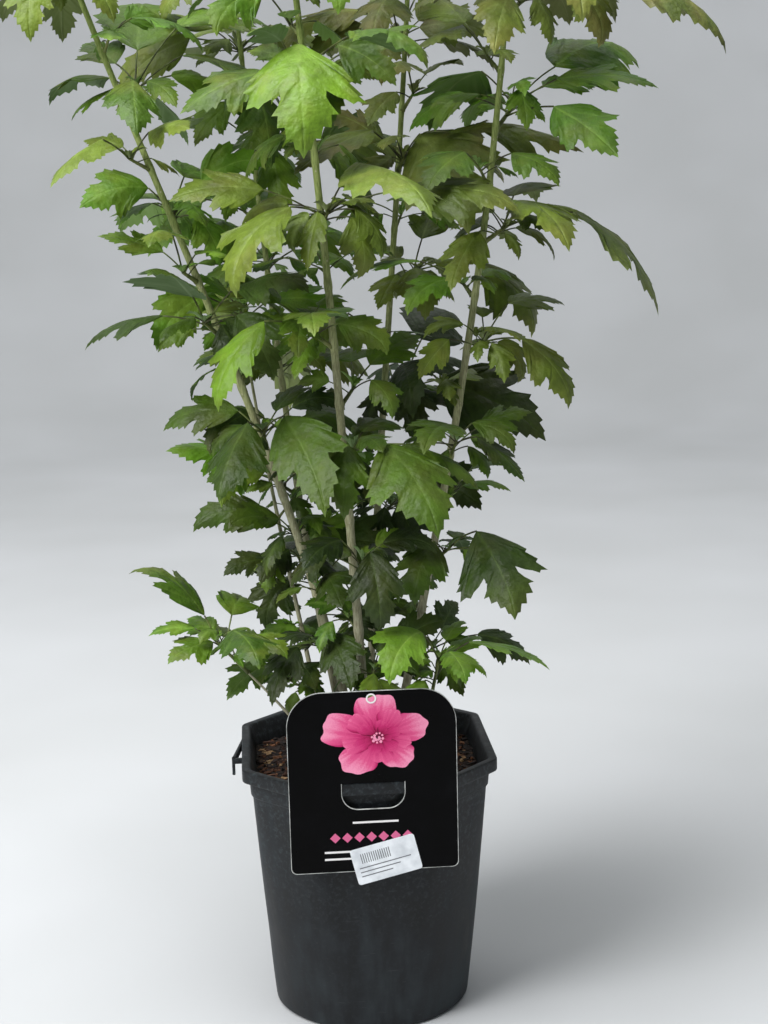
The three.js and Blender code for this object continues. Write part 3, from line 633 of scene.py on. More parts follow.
# Chipped pine bark: plates from rust to dark brown, dull, with lines of growth along them
def bark_chips():
    material, tree, place = new_material("pine_bark_chips")
    tone = add(tree, "Attribute", attribute_name="tone", out="Fac")
    grain = add(tree, "TexNoise", {"Vector": place, "Scale": 1 / 1.5, "Detail": 5})
    rusts = ((0, "#0f0907"), (0.45, "#27160f"), (0.74, "#45281a"), (0.92, "#70462b"), (1, "#a08460"))
    plate = add(tree, "ValToRGB", {0: tone}, rusts)
    shade = add(tree, "MapRange", {0: grain, 1: 0.3, 2: 0.7, 3: 0.6, 4: 1.3})
    colour = add(tree, "VectorMath", {0: plate, 1: shade}, operation="MULTIPLY")
    bump = add(tree, "Bump", {"Height": grain, "Distance": 0.0004, "Strength": 0.8})
    return shine(material, tree, colour, 0.85, Normal=bump, IOR=1.45)


# Coated card with black ink: smooth varnish with a soft gloss over a hint of card grain
def black_card():
    material, tree, place = new_material("varnished_black_card")
    rub = add(tree, "TexNoise", {"Vector": place, "Scale": 1 / 22, "Detail": 5})
    colour = add(tree, "ValToRGB", {0: rub}, ((0.35, "#020202"), (0.6, "#040405"), (0.75, "#09090b")))
    grain = add(tree, "TexNoise", {"Vector": place, "Scale": 1 / 0.8, "Detail": 2})
    bump = add(tree, "Bump", {"Height": grain, "Distance": 0.00002, "Strength": 0.4})
    rough = add(tree, "MapRange", {0: rub, 1: 0.3, 2: 0.7, 3: 0.26, 4: 0.42})
    return shine(material, tree, colour, rough, Normal=bump, IOR=1.5, Specular_IOR_Level=0.07)


# Paper and board: uncoated fibres, so quite matt, and faintly clouded between two shades by handling
def paper(name, cloud_size, detail, stops, rough):
    material, tree, place = new_material(name)
    cloud = add(tree, "TexNoise", {"Vector": place, "Scale": 1 / cloud_size, "Detail": detail})
    return shine(material, tree, add(tree, "ValToRGB", {0: cloud}, stops), rough, IOR=1.5)


# Printed ink under the card's varnish, its shade carried by the mesh so that petals fade and streak
def printed_ink(name, *stops):
    material, tree, place = new_material(name)
    tone = add(tree, "Attribute", attribute_name="tone", out="Fac")
    screen = add(tree, "TexNoise", {"Vector": place, "Scale": 1 / 0.7, "Detail": 1})
    dotted = add(tree, "MapRange", {0: screen, 3: -0.07, 4: 0.07})
    shade = add(tree, "Math", {0: tone, 1: dotted}, operation="ADD")
    colour = add(tree, "ValToRGB", {0: shade}, stops)
    return shine(material, tree, colour, 0.35, IOR=1.5, Specular_IOR_Level=0.15)


# Growth: canes


def cane_points(cane, heights):
    """The cane's middle at each height: a cubic with set slopes at both ends."""
    heights = np.asarray(heights, float)
    span = cane["tip"][2] - ROOT_HEIGHT
    s = (heights - ROOT_HEIGHT) / span
    weights = (2 * s**3 - 3 * s**2 + 1, (s**3 - 2 * s**2 + s) * span)
    weights += (3 * s**2 - 2 * s**3, (s**3 - s**2) * span)
    ends = [(cane["foot"][k], cane["lean"][k], cane["tip"][k], cane["end"][k]) for k in (0, 1)]
    sideways = [sum(w * v for w, v in zip(weights, values)) for values in ends]
    return np.stack([*sideways, heights], axis=-1)


def cane_direction(cane, height):
    return unit(cane_points(cane, height) - cane_points(cane, height - 1))


def cane_radius(cane, heights):
    s = (np.asarray(heights, float) - ROOT_HEIGHT) / (cane["tip"][2] - ROOT_HEIGHT)
    return cane["thick"] / 2 * mix(1, CANE_TIP_SHARE, s)


# Growth: room round each leaf


class Room:
    """Samples of everything that has grown, and whose they are."""

    def __init__(self):
        self.points = np.zeros((200000, 3))
        self.owners = np.zeros(200000, int)
        self.count = 0

    def keep(self, points, owner):
        end = self.count + len(points)
        self.points[self.count : end] = points
        self.owners[self.count : end] = owner
        self.count = end

    def clear(self, points, owner, own_room, room):
        """Whether all points keep own_room to their own shoot's samples, and room to all others."""
        known = self.points[: self.count]
        near = ((known > points.min(0) - room) & (known < points.max(0) + room)).all(1)
        if not near.any():
            return True
        away = np.linalg.norm(points[:, None] - known[near][None], axis=2)
        limits = np.where(self.owners[: self.count][near] == owner, own_room, room)
        return bool((away >= limits).all())


def clear_of_canes(points, room):
    for cane in CANES.values():
        top = cane["tip"][2]
        close = points[points[:, 2] <= top + room]
        if not len(close):
            continue
        heights = np.clip(close[:, 2], ROOT_HEIGHT, top)
        lean = math.hypot(cane["end"][0], cane["lean"][0])
        away = np.linalg.norm(cane_points(cane, heights) - close, axis=1) * math.cos(math.atan(lean))
        if (away <= cane_radius(cane, heights) + room).any():
            return False
    return True


def to_nearest(angle, step):
    return angle - step * np.floor(angle / step + 0.5)


def straight_walls(angle, flat, cut):
    """Distances from the axis to the sides of a square, and to its cut corners."""
    side = flat / np.cos(to_nearest(angle, 90 * DEGREE))
    corner = (2 * flat - cut) / math.sqrt(2) / np.cos(to_nearest(angle - 45 * DEGREE, 90 * DEGREE))
    return side, corner


def wall_distance(angle, flat, cut, rounding):
    """Distance from the axis to a square with cut corners that lies inside a circle."""
    return np.minimum(np.minimum(*straight_walls(angle, flat, cut)), rounding)


def clear_of_pot(points):
    x, y = spun(points[:, 0], points[:, 1], -POT_TURN)
    wall = wall_distance(np.arctan2(y, x), RIM_FLAT + LUG_OUT, RIM_CUT, np.inf)
    in_pot = (points[:, 2] < POT_HEIGHT + POT_ROOM) & (np.hypot(x, y) < wall + POT_ROOM)
    in_card = np.abs(y + RIM_FLAT) < POT_ROOM + CARD_THICKNESS
    in_card &= np.abs(x - CARD_MIDDLE) < CARD_WIDTH / 2 + POT_ROOM
    reach = (CARD_TOP - CARD_BOTTOM) / 2 + POT_ROOM
    in_card &= np.abs(points[:, 2] - (CARD_TOP + CARD_BOTTOM) / 2) < reach
    return not (in_pot | in_card).any()


# Growth: leaves


def midrib(leaf, u, curl=0):
    """Place, side and face directions at shares u along a midrib that droops, and curls at its tip."""
    steps = np.linspace(0, 1, 61)
    rises = leaf["rise"] - leaf["droop"] * steps - curl * steps**4
    middles = (rises[1:] + rises[:-1]) / 2
    stride = leaf["length"] / (len(steps) - 1)
    out = np.concatenate([[0], np.cumsum(np.cos(middles)) * stride])
    up = np.concatenate([[0], np.cumsum(np.sin(middles)) * stride])
    u = np.asarray(u, float)
    ahead = heading(leaf["angle"], 0.0)
    place = leaf["base"] + np.interp(u, steps, out)[:, None] * ahead
    place[:, 2] += np.interp(u, steps, up)
    across = heading(leaf["angle"] + 90 * DEGREE, 0.0)
    above = heading(leaf["angle"], np.interp(u, steps, rises) + 90 * DEGREE)
    side = across * math.cos(leaf["roll"]) + above * math.sin(leaf["roll"])
    face = above * math.cos(leaf["roll"]) - across * math.sin(leaf["roll"])
    return place, side, face


def blade_samples(leaf):
    steps = math.ceil(leaf["length"] / SAMPLE_STEP)
    along, off = [], []
    edge = np.array(SOLID_EDGE)
    for u in np.arange(steps + 1) / steps:
        half = np.interp(u, edge[:, 0], edge[:, 1])
        across = math.ceil(2 * half * leaf["length"] / SAMPLE_STEP)
        offs = mix(-half, half, np.arange(across + 1) / across) if across else np.zeros(1)
        along += [u] * len(offs)
        off += list(offs)
    off = np.array(off)[:, None] * leaf["length"]
    place, side, face = midrib(leaf, along)
    return place + side * off - face * np.abs(off) * leaf["fold"]


def line_samples(start, end, first=0):
    """Samples on the way from start to end, from the one numbered first."""
    steps = math.ceil(np.linalg.norm(end - start) / SAMPLE_STEP)
    return start + (end - start) * (np.arange(first, steps + 1)[:, None] / steps)


def name_sum(name):
    return sum(ord(letter) for letter in name)


def side_shoot(name, height, side, lengths, leads, seed):
    """The twig of a side shoot leaves the cane's surface, rising outwards."""
    cane = CANES[name]
    draw = seeded(seed)
    angle = (side + between(SIDE_SPREAD, draw)) * DEGREE
    along = between(lengths, draw)
    upwards = cane_direction(cane, height)
    level = heading(angle, 0.0)
    off = unit(level - upwards * (level @ upwards))
    foot = cane_points(cane, height) + off * (cane_radius(cane, height) + GAP)
    tip = foot + off * along * math.cos(TWIG_RISE) + upwards * along * math.sin(TWIG_RISE)
    lead = between(leads, draw) * low_share(height)
    shoot = dict(cane=name, height=height, foot=foot, tip=tip, angle=angle, lead=lead, at_tip=False)
    return dict(shoot, seed=draw() * SEED_RANGE)


def low_share(height):
    """Leaves low on the canes stay shorter."""
    return mix(LOW_SHARE, 1, min(1, max(0, (height - ROOT_HEIGHT) / LOW_REACH)))


def tip_shoot(name):
    cane = CANES[name]
    draw = seeded(name_sum(name) * TIP_SEED_STEP + GROWTH_SEED)
    foot = np.array(cane["tip"], float) + UP * GAP
    tip = foot + cane_direction(cane, cane["tip"][2]) * TIP_TWIG
    shoot = dict(cane=name, height=cane["tip"][2], foot=foot, tip=tip, lead=TIP_LEAF, at_tip=True)
    return dict(shoot, angle=draw() * 360 * DEGREE, seed=draw() * SEED_RANGE)


def leaf_try(shoot, index, attempt, share, turn, place):
    """One try at a leaf, which turns its face to the light. Later tries turn further and are smaller."""
    draw = seeded(shoot["seed"] + index * LEAF_SEED_STEP + attempt * TRY_SEED_STEP)
    loose = LOOSE_TURN + LOOSER_EACH_TRY * attempt
    angle = shoot["angle"] + (turn + mix(-loose, loose, draw())) * DEGREE
    length = shoot["lead"] * share * between(LENGTH_SPREAD, draw) * SMALLER_EACH_TRY**attempt
    extra = TIP_EXTRA_RISE if shoot["at_tip"] else 0
    stalk_rise = (between(STALK_RISE, draw) + extra) * DEGREE
    stalk = length * between(STALK_SHARE, draw)
    root = mix(shoot["foot"], shoot["tip"], place)
    leaf = dict(root=root, base=root + heading(angle, stalk_rise) * stalk, angle=angle, length=length)
    leaf["rise"] = stalk_rise - between(KNEE, draw) * DEGREE
    light = between(LIGHT_TURN, draw) * DEGREE
    leaf["rise"] += light * LIGHT_LIFT * math.sin(angle)
    leaf["droop"] = between(DROOP, draw) * DEGREE
    leaf["roll"] = between(ROLL, draw) * DEGREE + light * math.cos(angle)
    return dict(leaf, fold=between(FOLD, draw), draw=draw)


def grow_leaf(shoot, owner, index, share, turn, place, rooms, held=False):
    """Tries a leaf until it stands clear of the pot, the canes and all that has grown."""
    own, others, cane_room, stalk_room = rooms
    for attempt in range(LEAF_TRIES):
        leaf = leaf_try(shoot, index, attempt, share, turn, place)
        blade, stalk = blade_samples(leaf), line_samples(leaf["root"], leaf["base"], 1)
        if not (clear_of_pot(blade) and clear_of_pot(stalk)):
            continue
        if not (clear_of_canes(blade, cane_room) and clear_of_canes(stalk, STALK_ROOM)):
            continue
        if not (room.clear(blade, owner, own, others) and room.clear(stalk, owner, 0, stalk_room)):
            continue
        if held and not inside_reach(blade):
            continue
        room.keep(np.concatenate([blade, stalk]), owner)
        shoot["grown"].append(leaf)
        return


def inside_reach(points):
    low, high = np.array(CAD_LOW) / MM, np.array(CAD_HIGH) / MM
    return bool(((points > low) & (points < high)).all())


def keep_twig(shoot, owner):
    """Keeps a bare twig's samples, ready for its leaves."""
    room.keep(line_samples(shoot["foot"], shoot["tip"]), owner)
    shoot["grown"] = []


def main_shoots():
    """The shoots that the solids have, in the solids' order."""
    shoots = {}
    for name, cane in CANES.items():
        for index, side in enumerate(cane["sides"]):
            seed = name_sum(name) * CANE_SEED_STEP + index * SHOOT_SEED_STEP + GROWTH_SEED
            height = cane["first"] + cane["gap"] * index
            shoot = side_shoot(name, height, side, TWIG_LENGTH, LEAD_LENGTH, seed)
            shoots[f"{name}_spray_{index + 1}"] = shoot
        shoots[f"{name}_spray_top"] = tip_shoot(name)
    return shoots


def grow_main(shoots):
    """Twigs first, then the longest leaf of every shoot, then the next longest."""
    for owner, shoot in enumerate(shoots.values()):
        keep_twig(shoot, owner)
    rooms = (OWN_ROOM, LEAF_ROOM, CANE_ROOM, LEAF_ROOM)
    for index in range(LEAVES_ON_SHOOT):
        place = mix(ROOT_LAST, ROOT_FIRST, index / (LEAVES_ON_SHOOT - 1))
        for owner, shoot in enumerate(shoots.values()):
            share, turn = LEAF_SHARES[index], LEAF_TURNS[index]
            if shoot["at_tip"]:
                share, turn = mix(1, TIP_SHARE, index / LEAVES_ON_SHOOT), index * GOLDEN_ANGLE
            grow_leaf(shoot, owner, index, share, turn, place, rooms)


def spur_shoots():
    """Short spurs half way between the shoots, each facing away from the shoot below it."""
    spurs = {}
    for name, cane in CANES.items():
        for index, side in enumerate((*cane["sides"], *cane["sides"][:1])):
            height = cane["first"] + cane["gap"] * (index - 0.5)
            if SPUR_LOWEST < height < cane["tip"][2]:
                side += SPUR_AWAY[index % 2]
                seed = name_sum(name) * CANE_SEED_STEP + index * SHOOT_SEED_STEP + SPUR_SEED
                spur = side_shoot(name, height, side, SPUR_LENGTH, SPUR_LEAD, seed)
                spurs[f"{name}_spur_{index + 1}"] = spur
    return spurs


def grow_fine(shoots, spurs):
    """Spurs and their leaves first, then the young leaves of every shoot, within the solids' reach."""
    rooms = (FINE_OWN_ROOM, FINE_ROOM, FINE_CANE_ROOM, FINE_OWN_ROOM)
    for owner, spur in enumerate(spurs.values(), len(shoots)):
        keep_twig(spur, owner)
    for index, (share, turn) in enumerate(zip(SPUR_SHARES, SPUR_TURNS)):
        place = mix(1, SPUR_LAST, index / (len(SPUR_SHARES) - 1))
        for owner, spur in enumerate(spurs.values(), len(shoots)):
            grow_leaf(spur, owner, index, share, turn, place, rooms, held=True)
    for index in range(YOUNG_LEAVES):
        share = mix(YOUNG_SHARE[1], YOUNG_SHARE[0], index / (YOUNG_LEAVES - 1))
        turn = YOUNG_TURN + index * GOLDEN_ANGLE
        place = mix(*YOUNG_PLACES, index / YOUNG_LEAVES)
        for owner, shoot in enumerate(shoots.values()):
            grow_leaf(shoot, owner, YOUNG_SEED + index, share, turn, place, rooms, held=True)


# Pieces: leaves


def leaf_plan(rows, columns):
    """Corners and triangles of a closed leaf whose two faces share their edge.
    A corner is (row of the outline, share of the way out to it, side, face)."""
    last_row, last_column = len(rows) - 1, len(columns) - 1
    corners, index_of, triangles, slots = [], {}, [], []

    def corner(r, c, side, face):
        if r in (0, last_row):
            key = (r, 0, 0, 0)
        elif c == last_column:
            key = (r, c, side, 0)
        else:
            key = (r, c, side if c else 0, face)
        if key not in index_of:
            index_of[key] = len(corners)
            corners.append(key)
        return index_of[key]

    for face in (1, -1):
        for side in (1, -1):
            for r in range(last_row):
                for c in range(last_column):
                    quad = [corner(r, c, side, face), corner(r + 1, c, side, face)]
                    quad += [corner(r + 1, c + 1, side, face), corner(r, c + 1, side, face)]
                    for triangle in ((quad[0], quad[1], quad[2]), (quad[0], quad[2], quad[3])):
                        if len(set(triangle)) == 3:
                            triangles.append(triangle if face * side > 0 else triangle[::-1])
                            slots.append(0 if face > 0 else 1)
    keys = np.array(corners)
    plan = dict(row=np.array(rows)[keys[:, 0]], share=np.array(columns)[keys[:, 1]])
    plan.update(side=keys[:, 2], face=keys[:, 3], faces=triangles, slots=np.array(slots))
    plan["rim"] = keys[:, 3] == 0
    return plan


def outline_of(lobing):
    """Outline of a leaf between the shallow and the lobed one, with the foot of each row's vein."""
    edge = mix(np.array(SHALLOW_EDGE, float), np.array(LOBED_EDGE, float), lobing)
    feet = edge[:, 0] - edge[:, 1]
    for i in range(1, len(feet)):
        feet[i] = max(feet[i], feet[i - 1] + 0.01)
    return edge, np.minimum(feet, edge[:, 0])


FULL_LEAF = leaf_plan(range(len(LOBED_EDGE)), LEAF_COLUMNS)
SMALL_LEAF_PLAN = leaf_plan(SMALL_ROWS, SMALL_COLUMNS)


def blade(leaf, plan, narrow=1.0):
    """Points of a leaf's blade with its teeth, quilting, ruffles and curled tip, how strongly each one
    lies on a vein, and how near it is to the tip."""
    draw = leaf["draw"]
    lobing = between(LOBING if leaf["length"] > SMALL_LEAF else YOUNG_LOBING, draw)
    curl = between(CURL, draw) * DEGREE
    phase, ruffle = draw(), RUFFLE * between(RUFFLE_SHARE, draw)
    narrow = narrow * between(LEAF_WIDTH, draw)
    edge, feet = outline_of(lobing)
    row, share, side, face = plan["row"], plan["share"], plan["side"], plan["face"]
    along = mix(feet[row], edge[row, 0], share)
    along = np.where(row == 0, 0, np.where(row == len(edge) - 1, 1, along))
    off = edge[row, 1] * share * side * narrow
    off = off * (1 + UNEVEN * np.sin(side * 2.1 + phase * 6 + along * 6))
    swell = np.sin(math.pi * share) ** 0.7
    is_vein = edge[row, 2]
    length = leaf["length"]
    lift = QUILT * length * swell * (1 - 2 * is_vein) * (share > 0)
    on_rib = (share == 0) & (row > 0) & (row < len(edge) - 1)
    lift -= np.where(on_rib, RIB_DEPTH * length, 0)
    wide = np.abs(off) / WIDEST
    waves = np.sin(2 * math.pi * (RUFFLE_WAVES * along + phase + 0.2 * side))
    lift += length * ruffle * waves * wide**1.5
    lift -= length * LOBE_DROOP * wide**2
    lift -= np.abs(off) * length * leaf["fold"]
    lift += face * BLADE_THICKNESS / 2 * np.where(on_rib & (face < 0), UNDER_RIB, 1)
    place, sideways, facing = midrib(leaf, along, curl)
    points = place + sideways * (off * length)[:, None] + facing * lift[:, None]
    vein = np.where(share == 0, 1, np.where(share < 0.1, 0.2, is_vein * 0.5 * (1 - share * 0.8)))
    ripe = np.clip((along - 0.35) / 0.65, 0, 1) ** 1.5
    return points, vein, ripe


def stalk(leaf, steps):
    """Path of a leaf's stalk: from its twig, arching a little, into the foot of its blade."""
    t = np.linspace(0, 1, steps)[:, None]
    reach = np.linalg.norm(leaf["base"] - leaf["root"])
    return mix(leaf["root"], leaf["base"], t) + UP * (reach * STALK_ARCH * np.sin(math.pi * t))


# Colours of the foliage, dealt out by spray: two greens, the veins and the tip of the upper side
FOLIAGE = {
    "shade": (("#1d2d0a", "#34490f"), "#4b5f26", "#37400f"),
    "deep": (("#253a0a", "#456010"), "#5c7330", "#47501a"),
    "mid": (("#324e0a", "#5e7f19"), "#738e3c", "#606a22"),
    "olive": (("#42550f", "#687c22"), "#82944c", "#666c2a"),
    "fresh": (("#3c600c", "#5a841a"), "#7c9e40", "#667a24"),
    "lime": (("#4c761a", "#6e9224"), "#92b04e", "#688428"),
    "bronze": (("#46541a", "#667628"), "#84944e", "#706a34"),
}
# The same for the undersides, without the tip
UNDERSIDES = {
    "shade": (("#3f5230", "#4e6240"), "#72825e"),
    "deep": (("#4a6038", "#5d7448"), "#839470"),
    "mid": (("#5a7440", "#6c8650"), "#90a478"),
    "olive": (("#66743e", "#78854e"), "#98a276"),
    "fresh": (("#6f9044", "#80a052"), "#a3b878"),
    "lime": (("#88a846", "#9ab856"), "#b4c880"),
    "bronze": (("#6e7444", "#7e8452"), "#9ea076"),
}
# Darker greens low and lighter ones high: partly the leaves' own, partly painted shade and painted light
SHADED_LOW_DEALT = ("shade", "deep", "shade", "mid", "deep", "shade", "deep", "fresh")
LIT_HIGH_DEALT = ("mid", "olive", "fresh", "mid", "fresh", "olive", "bronze", "deep")
LOW_FOLIAGE = 430
LIGHTER = {"shade": "mid", "deep": "mid", "mid": "fresh"}
SET_SPRAYS = {
    "shoot_right_spray_top": "lime",
    "shoot_left_spray_top": "mid",
}


def kind_of(name, shoot):
    if name in SET_SPRAYS:
        return SET_SPRAYS[name]
    if shoot["at_tip"]:
        return "fresh"
    # Sprays below LOW_FOLIAGE take darker greens, partly as painted shade of the lower crown
    dealt = SHADED_LOW_DEALT if shoot["height"] < LOW_FOLIAGE else LIT_HIGH_DEALT
    return dealt[int(shoot["seed"]) % len(dealt)]


def make_foliage(shoots, spurs):
    leaves = {kind: Joined() for kind in FOLIAGE}
    stalks, twigs = Joined(), Joined()
    for name, shoot in {**shoots, **spurs}.items():
        kind = kind_of(name, shoot)
        if name in shoots:
            leaves[kind].nodes.append(name)
        for number, leaf in enumerate(shoot["grown"]):
            young = leaf["length"] < SMALL_LEAF
            shade = LIGHTER.get(kind, kind) if young and number % 2 == 0 else kind
            take_leaf(leaves[shade], leaf)
            take_stalk(stalks, leaf)
        take_twig(twigs, shoot)
        take_buds(leaves[LIGHTER.get(kind, kind)], shoot)
    for kind, joined in leaves.items():
        upper = leaf_upper(f"hibiscus_leaf_{kind}", *FOLIAGE[kind])
        under = leaf_under(f"hibiscus_leaf_{kind}_underside", *UNDERSIDES[kind])
        joined.piece(f"leaves_{kind}", (upper, under), "leaf")
    twig_skin = green_skin("young_twig_skin", ("#454c20", "#5d6830", "#757a44"))
    stalk_skin = green_skin("leaf_stalk_skin", ("#35341a", "#485222", "#637034"))
    twigs.piece("twigs", (twig_skin,), "leaf")
    stalks.piece("leaf_stalks", (stalk_skin,), "leaf")


def take_stalk(stalks, leaf):
    """A stalk is thicker for a longer leaf, and swollen where it leaves its twig."""
    radius = STALK_RADIUS * mix(0.55, 1, min(1, leaf["length"] / FULL_LEAF_LENGTH))
    taper = np.interp(np.linspace(0, 1, STALK_STEPS), (0, 0.15, 1), (1.5, 1, 1))
    if np.linalg.norm(leaf["base"] - leaf["root"]) > 1:
        stalks.take(*tube(stalk(leaf, STALK_STEPS), taper * radius, STALK_ROUND))


def take_leaf(joined, leaf, narrow=1.0):
    plan = FULL_LEAF if leaf["length"] > SMALL_LEAF else SMALL_LEAF_PLAN
    points, vein, ripe = blade(leaf, plan, narrow)
    tone = leaf["draw"]()
    ripe = ripe * max(0, leaf["draw"]() * 1.6 - 0.6)
    marks = dict(vein=vein * VEIN_STRENGTH, ripe=ripe, tone=tone)
    joined.take(points, plan["faces"], plan["slots"], plan["rim"], **marks)


def take_twig(twigs, shoot):
    """A twig swells a little where it leaves the cane and where each leaf leaves it."""
    t = np.linspace(-0.06, 1, 15)
    path = mix(shoot["foot"], shoot["tip"], t[:, None])
    radii = np.interp(t, (-0.06, 0.06, 1), (TWIG_RADIUS * 1.25, TWIG_RADIUS, TWIG_TIP_RADIUS * 0.8))
    if not shoot["at_tip"]:
        radii *= 1 + 0.14 * np.sin(t * 26) ** 4
    thin = min(1, shoot["lead"] / FULL_LEAD)
    twigs.take(*tube(path, radii * thin, TWIG_ROUND))


def take_buds(joined, shoot):
    """The growing point of a shoot: a tuft of tiny folded leaves."""
    draw = seeded(shoot["seed"] + YOUNG_SEED)
    for i in range(BUD_LEAVES):
        angle = shoot["angle"] + i * GOLDEN_ANGLE * DEGREE
        leaf = dict(root=shoot["tip"], base=shoot["tip"] + heading(angle, 0.6) * 0.8, angle=angle)
        leaf.update(length=between(BUD_LEAF, draw), rise=between(BUD_RISE, draw) * DEGREE)
        leaf.update(droop=between(BUD_DROOP, draw) * DEGREE, roll=0.2, fold=BUD_FOLD, draw=draw)
        take_leaf(joined, leaf, 0.8)


# Pieces: canes


def make_canes(shoots, spurs):
    bark = cane_bark()
    for name, cane in CANES.items():
        low, high = SOIL_TOP - CANE_SUNK, cane["tip"][2]
        heights = np.linspace(low, high, math.ceil((high - low) / CANE_RINGS_APART))
        path = cane_points(cane, heights)
        radii = cane_radius(cane, heights)
        joints = [s["height"] for s in (*shoots.values(), *spurs.values()) if s["cane"] == name]
        for joint in joints:
            swell = NODE_SWELL * np.exp(-(((heights - joint) / NODE_LENGTH) ** 2))
            radii = radii * (1 + swell * (joint < high - 2))
        radii = radii * (1 + FOOT_SWELL * np.exp(-((heights - low) / FOOT_SWELL_LENGTH)))
        relief = bark_relief(heights, round_turns(CANE_ROUND), name_sum(name))
        age = np.interp(heights, (low, 420, 700), (1, 0.7, 0.25))[:, None]
        stem = tube(path, radii[:, None] + relief * age * BARK_RELIEF, CANE_ROUND)
        single(f"{name}_bark", stem, bark, "cane", name)


def bark_relief(heights, turns, seed):
    """Long low ridges with knots, from -1 to 1, for every ring and side."""
    relief = np.zeros((len(heights), len(turns)))
    for i, height in enumerate(heights):
        for k, turn in enumerate(turns):
            across = Vector((math.cos(turn) * 2.2, math.sin(turn) * 2.2, height / 26 + seed))
            fine = Vector((math.cos(turn) * 4, math.sin(turn) * 4, height / 7 - seed))
            relief[i, k] = noise.noise(across) + 0.6 * noise.noise(fine)
    return relief


# Pieces: pot

ANGLES = round_turns(POT_STEPS)


def soft_wall(flat, cut, rounding):
    """The wall's distance in every direction, with softened corners as from a mould."""
    walls = [*straight_walls(ANGLES, flat, cut), np.full(POT_STEPS, rounding)]
    least = np.min(walls, axis=0)
    return least - CORNER_SOFTNESS * np.log(sum(np.exp((least - w) / CORNER_SOFTNESS) for w in walls))


def ring(height, distances, angles=ANGLES):
    """A level ring of points at the given distances from the axis."""
    x, y = distances * np.cos(angles), distances * np.sin(angles)
    return np.stack([x, y, np.full(len(angles), height)], -1)


def body_walls(height, inset):
    """Half width, corner cut and rounding of the pot's body at a height."""
    t = height / (POT_HEIGHT - RIM_DEPTH)
    cut = BODY_CUT - inset * CUT_INSET
    return mix(FOOT_RADIUS, BODY_FLAT, t) - inset, cut, mix(FOOT_RADIUS, BODY_ROUND, t) - inset


def body_ring(height, inset):
    return ring(height, soft_wall(*body_walls(height, inset)))


def rim_ring(height, inset):
    return ring(height, soft_wall(RIM_FLAT - inset, RIM_CUT - inset * CUT_INSET, np.inf))


def pot_rings():
    """Outer wall from the foot up, over the rim, and down the inside to the floor."""
    under_rim = POT_HEIGHT - RIM_DEPTH
    band = POT_HEIGHT - BAND_DEPTH
    inner = BAND_STEP + POT_WALL
    bends = [(1 - math.cos(a), 1 - math.sin(a)) for a in np.linspace(0, 90, 6) * DEGREE]
    rings = [body_ring(0, FOOT_EDGE + 20), body_ring(0, FOOT_EDGE + 4)]
    rings += [body_ring(FOOT_EDGE * up, FOOT_EDGE * inwards) for up, inwards in bends]
    rings += [body_ring(h, 0) for h in np.linspace(FOOT_EDGE + 4, band - 0.6, BODY_STEPS)]
    rings += [body_ring(band, -0.2), body_ring(band + 0.7, -BAND_STEP + 0.3)]
    rings += [body_ring(band + 1.4, -BAND_STEP), body_ring((band + under_rim) / 2, -BAND_STEP)]
    rings += [body_ring(under_rim - 0.4, -BAND_STEP), rim_ring(under_rim, 3), rim_ring(under_rim, 0.6)]
    rings += [rim_ring(under_rim + 0.6, 0.1), rim_ring(under_rim + 2, 0), rim_ring(POT_HEIGHT - 3, 0)]
    rings += [rim_ring(POT_HEIGHT - MOULD_RADIUS * down, MOULD_RADIUS * inwards) for inwards, down in bends]
    rings += [rim_ring(POT_HEIGHT, RIM_LEDGE - 1), rim_ring(POT_HEIGHT - 0.3, RIM_LEDGE - 0.3)]
    rings += [rim_ring(POT_HEIGHT - 1, RIM_LEDGE + 0.3), rim_ring(POT_HEIGHT - 2, RIM_LEDGE + 1)]
    rings += [body_ring(h, inner) for h in np.linspace(band + 4, FLOOR_THICKNESS + 3, BODY_STEPS)]
    rings += [body_ring(FLOOR_THICKNESS + 0.8, inner + 1), body_ring(FLOOR_THICKNESS, inner + 3)]
    return rings


def warped(points):
    """The slight waviness of a thin moulded wall, none at the foot or the rim."""
    moved = points.copy()
    for i, (x, y, z) in enumerate(points):
        amount = math.sin(math.pi * min(1, z / (POT_HEIGHT - BAND_DEPTH))) if z > 0 else 0
        push = WAVINESS * amount * noise.noise(Vector((x / 34, y / 34, z / 60)))
        moved[i, :2] *= 1 + push / math.hypot(x, y)
    return moved


def make_pot():
    plastic = pot_plastic()
    points, faces = lofted(pot_rings())
    drill(single("pot_shell", (turned(warped(points)), faces), plastic, "pot_plastic", "pot"))
    lug = Joined()
    for block in lug_blocks():
        lug.take(*bevelled(*block))
    lug.piece("pot_lug", (plastic,), "pot_plastic", ("pot",), smooth=False)


def drill(pot):
    """Cuts the drain holes through the floor, with one joined cutter."""
    cutter = Joined()
    for i in range(DRAIN_HOLES):
        angle = (i + 0.5) * (360 / DRAIN_HOLES) * DEGREE
        x, y = DRAIN_RING * math.cos(angle), DRAIN_RING * math.sin(angle)
        path = turned([(x, y, -6), (x, y, FLOOR_THICKNESS + 6)])
        cutter.take(*tube(path, [DRAIN_RADIUS, DRAIN_RADIUS], 32))
    mesh = bpy.data.meshes.new("drain_cutter")
    mesh.from_pydata(np.concatenate(cutter.points) * MM, [], cutter.faces)
    tool = link(bpy.data.objects.new("drain_cutter", mesh))
    cut = pot.modifiers.new("drain holes", "BOOLEAN")
    cut.operation, cut.solver, cut.object = "DIFFERENCE", "EXACT", tool
    drilled = evaluated_mesh(pot)
    pot.modifiers.clear()
    pot.data = drilled
    drilled.shade_smooth()
    drilled.set_sharp_from_angle(angle=SHARP_FROM)
    bpy.data.objects.remove(tool)


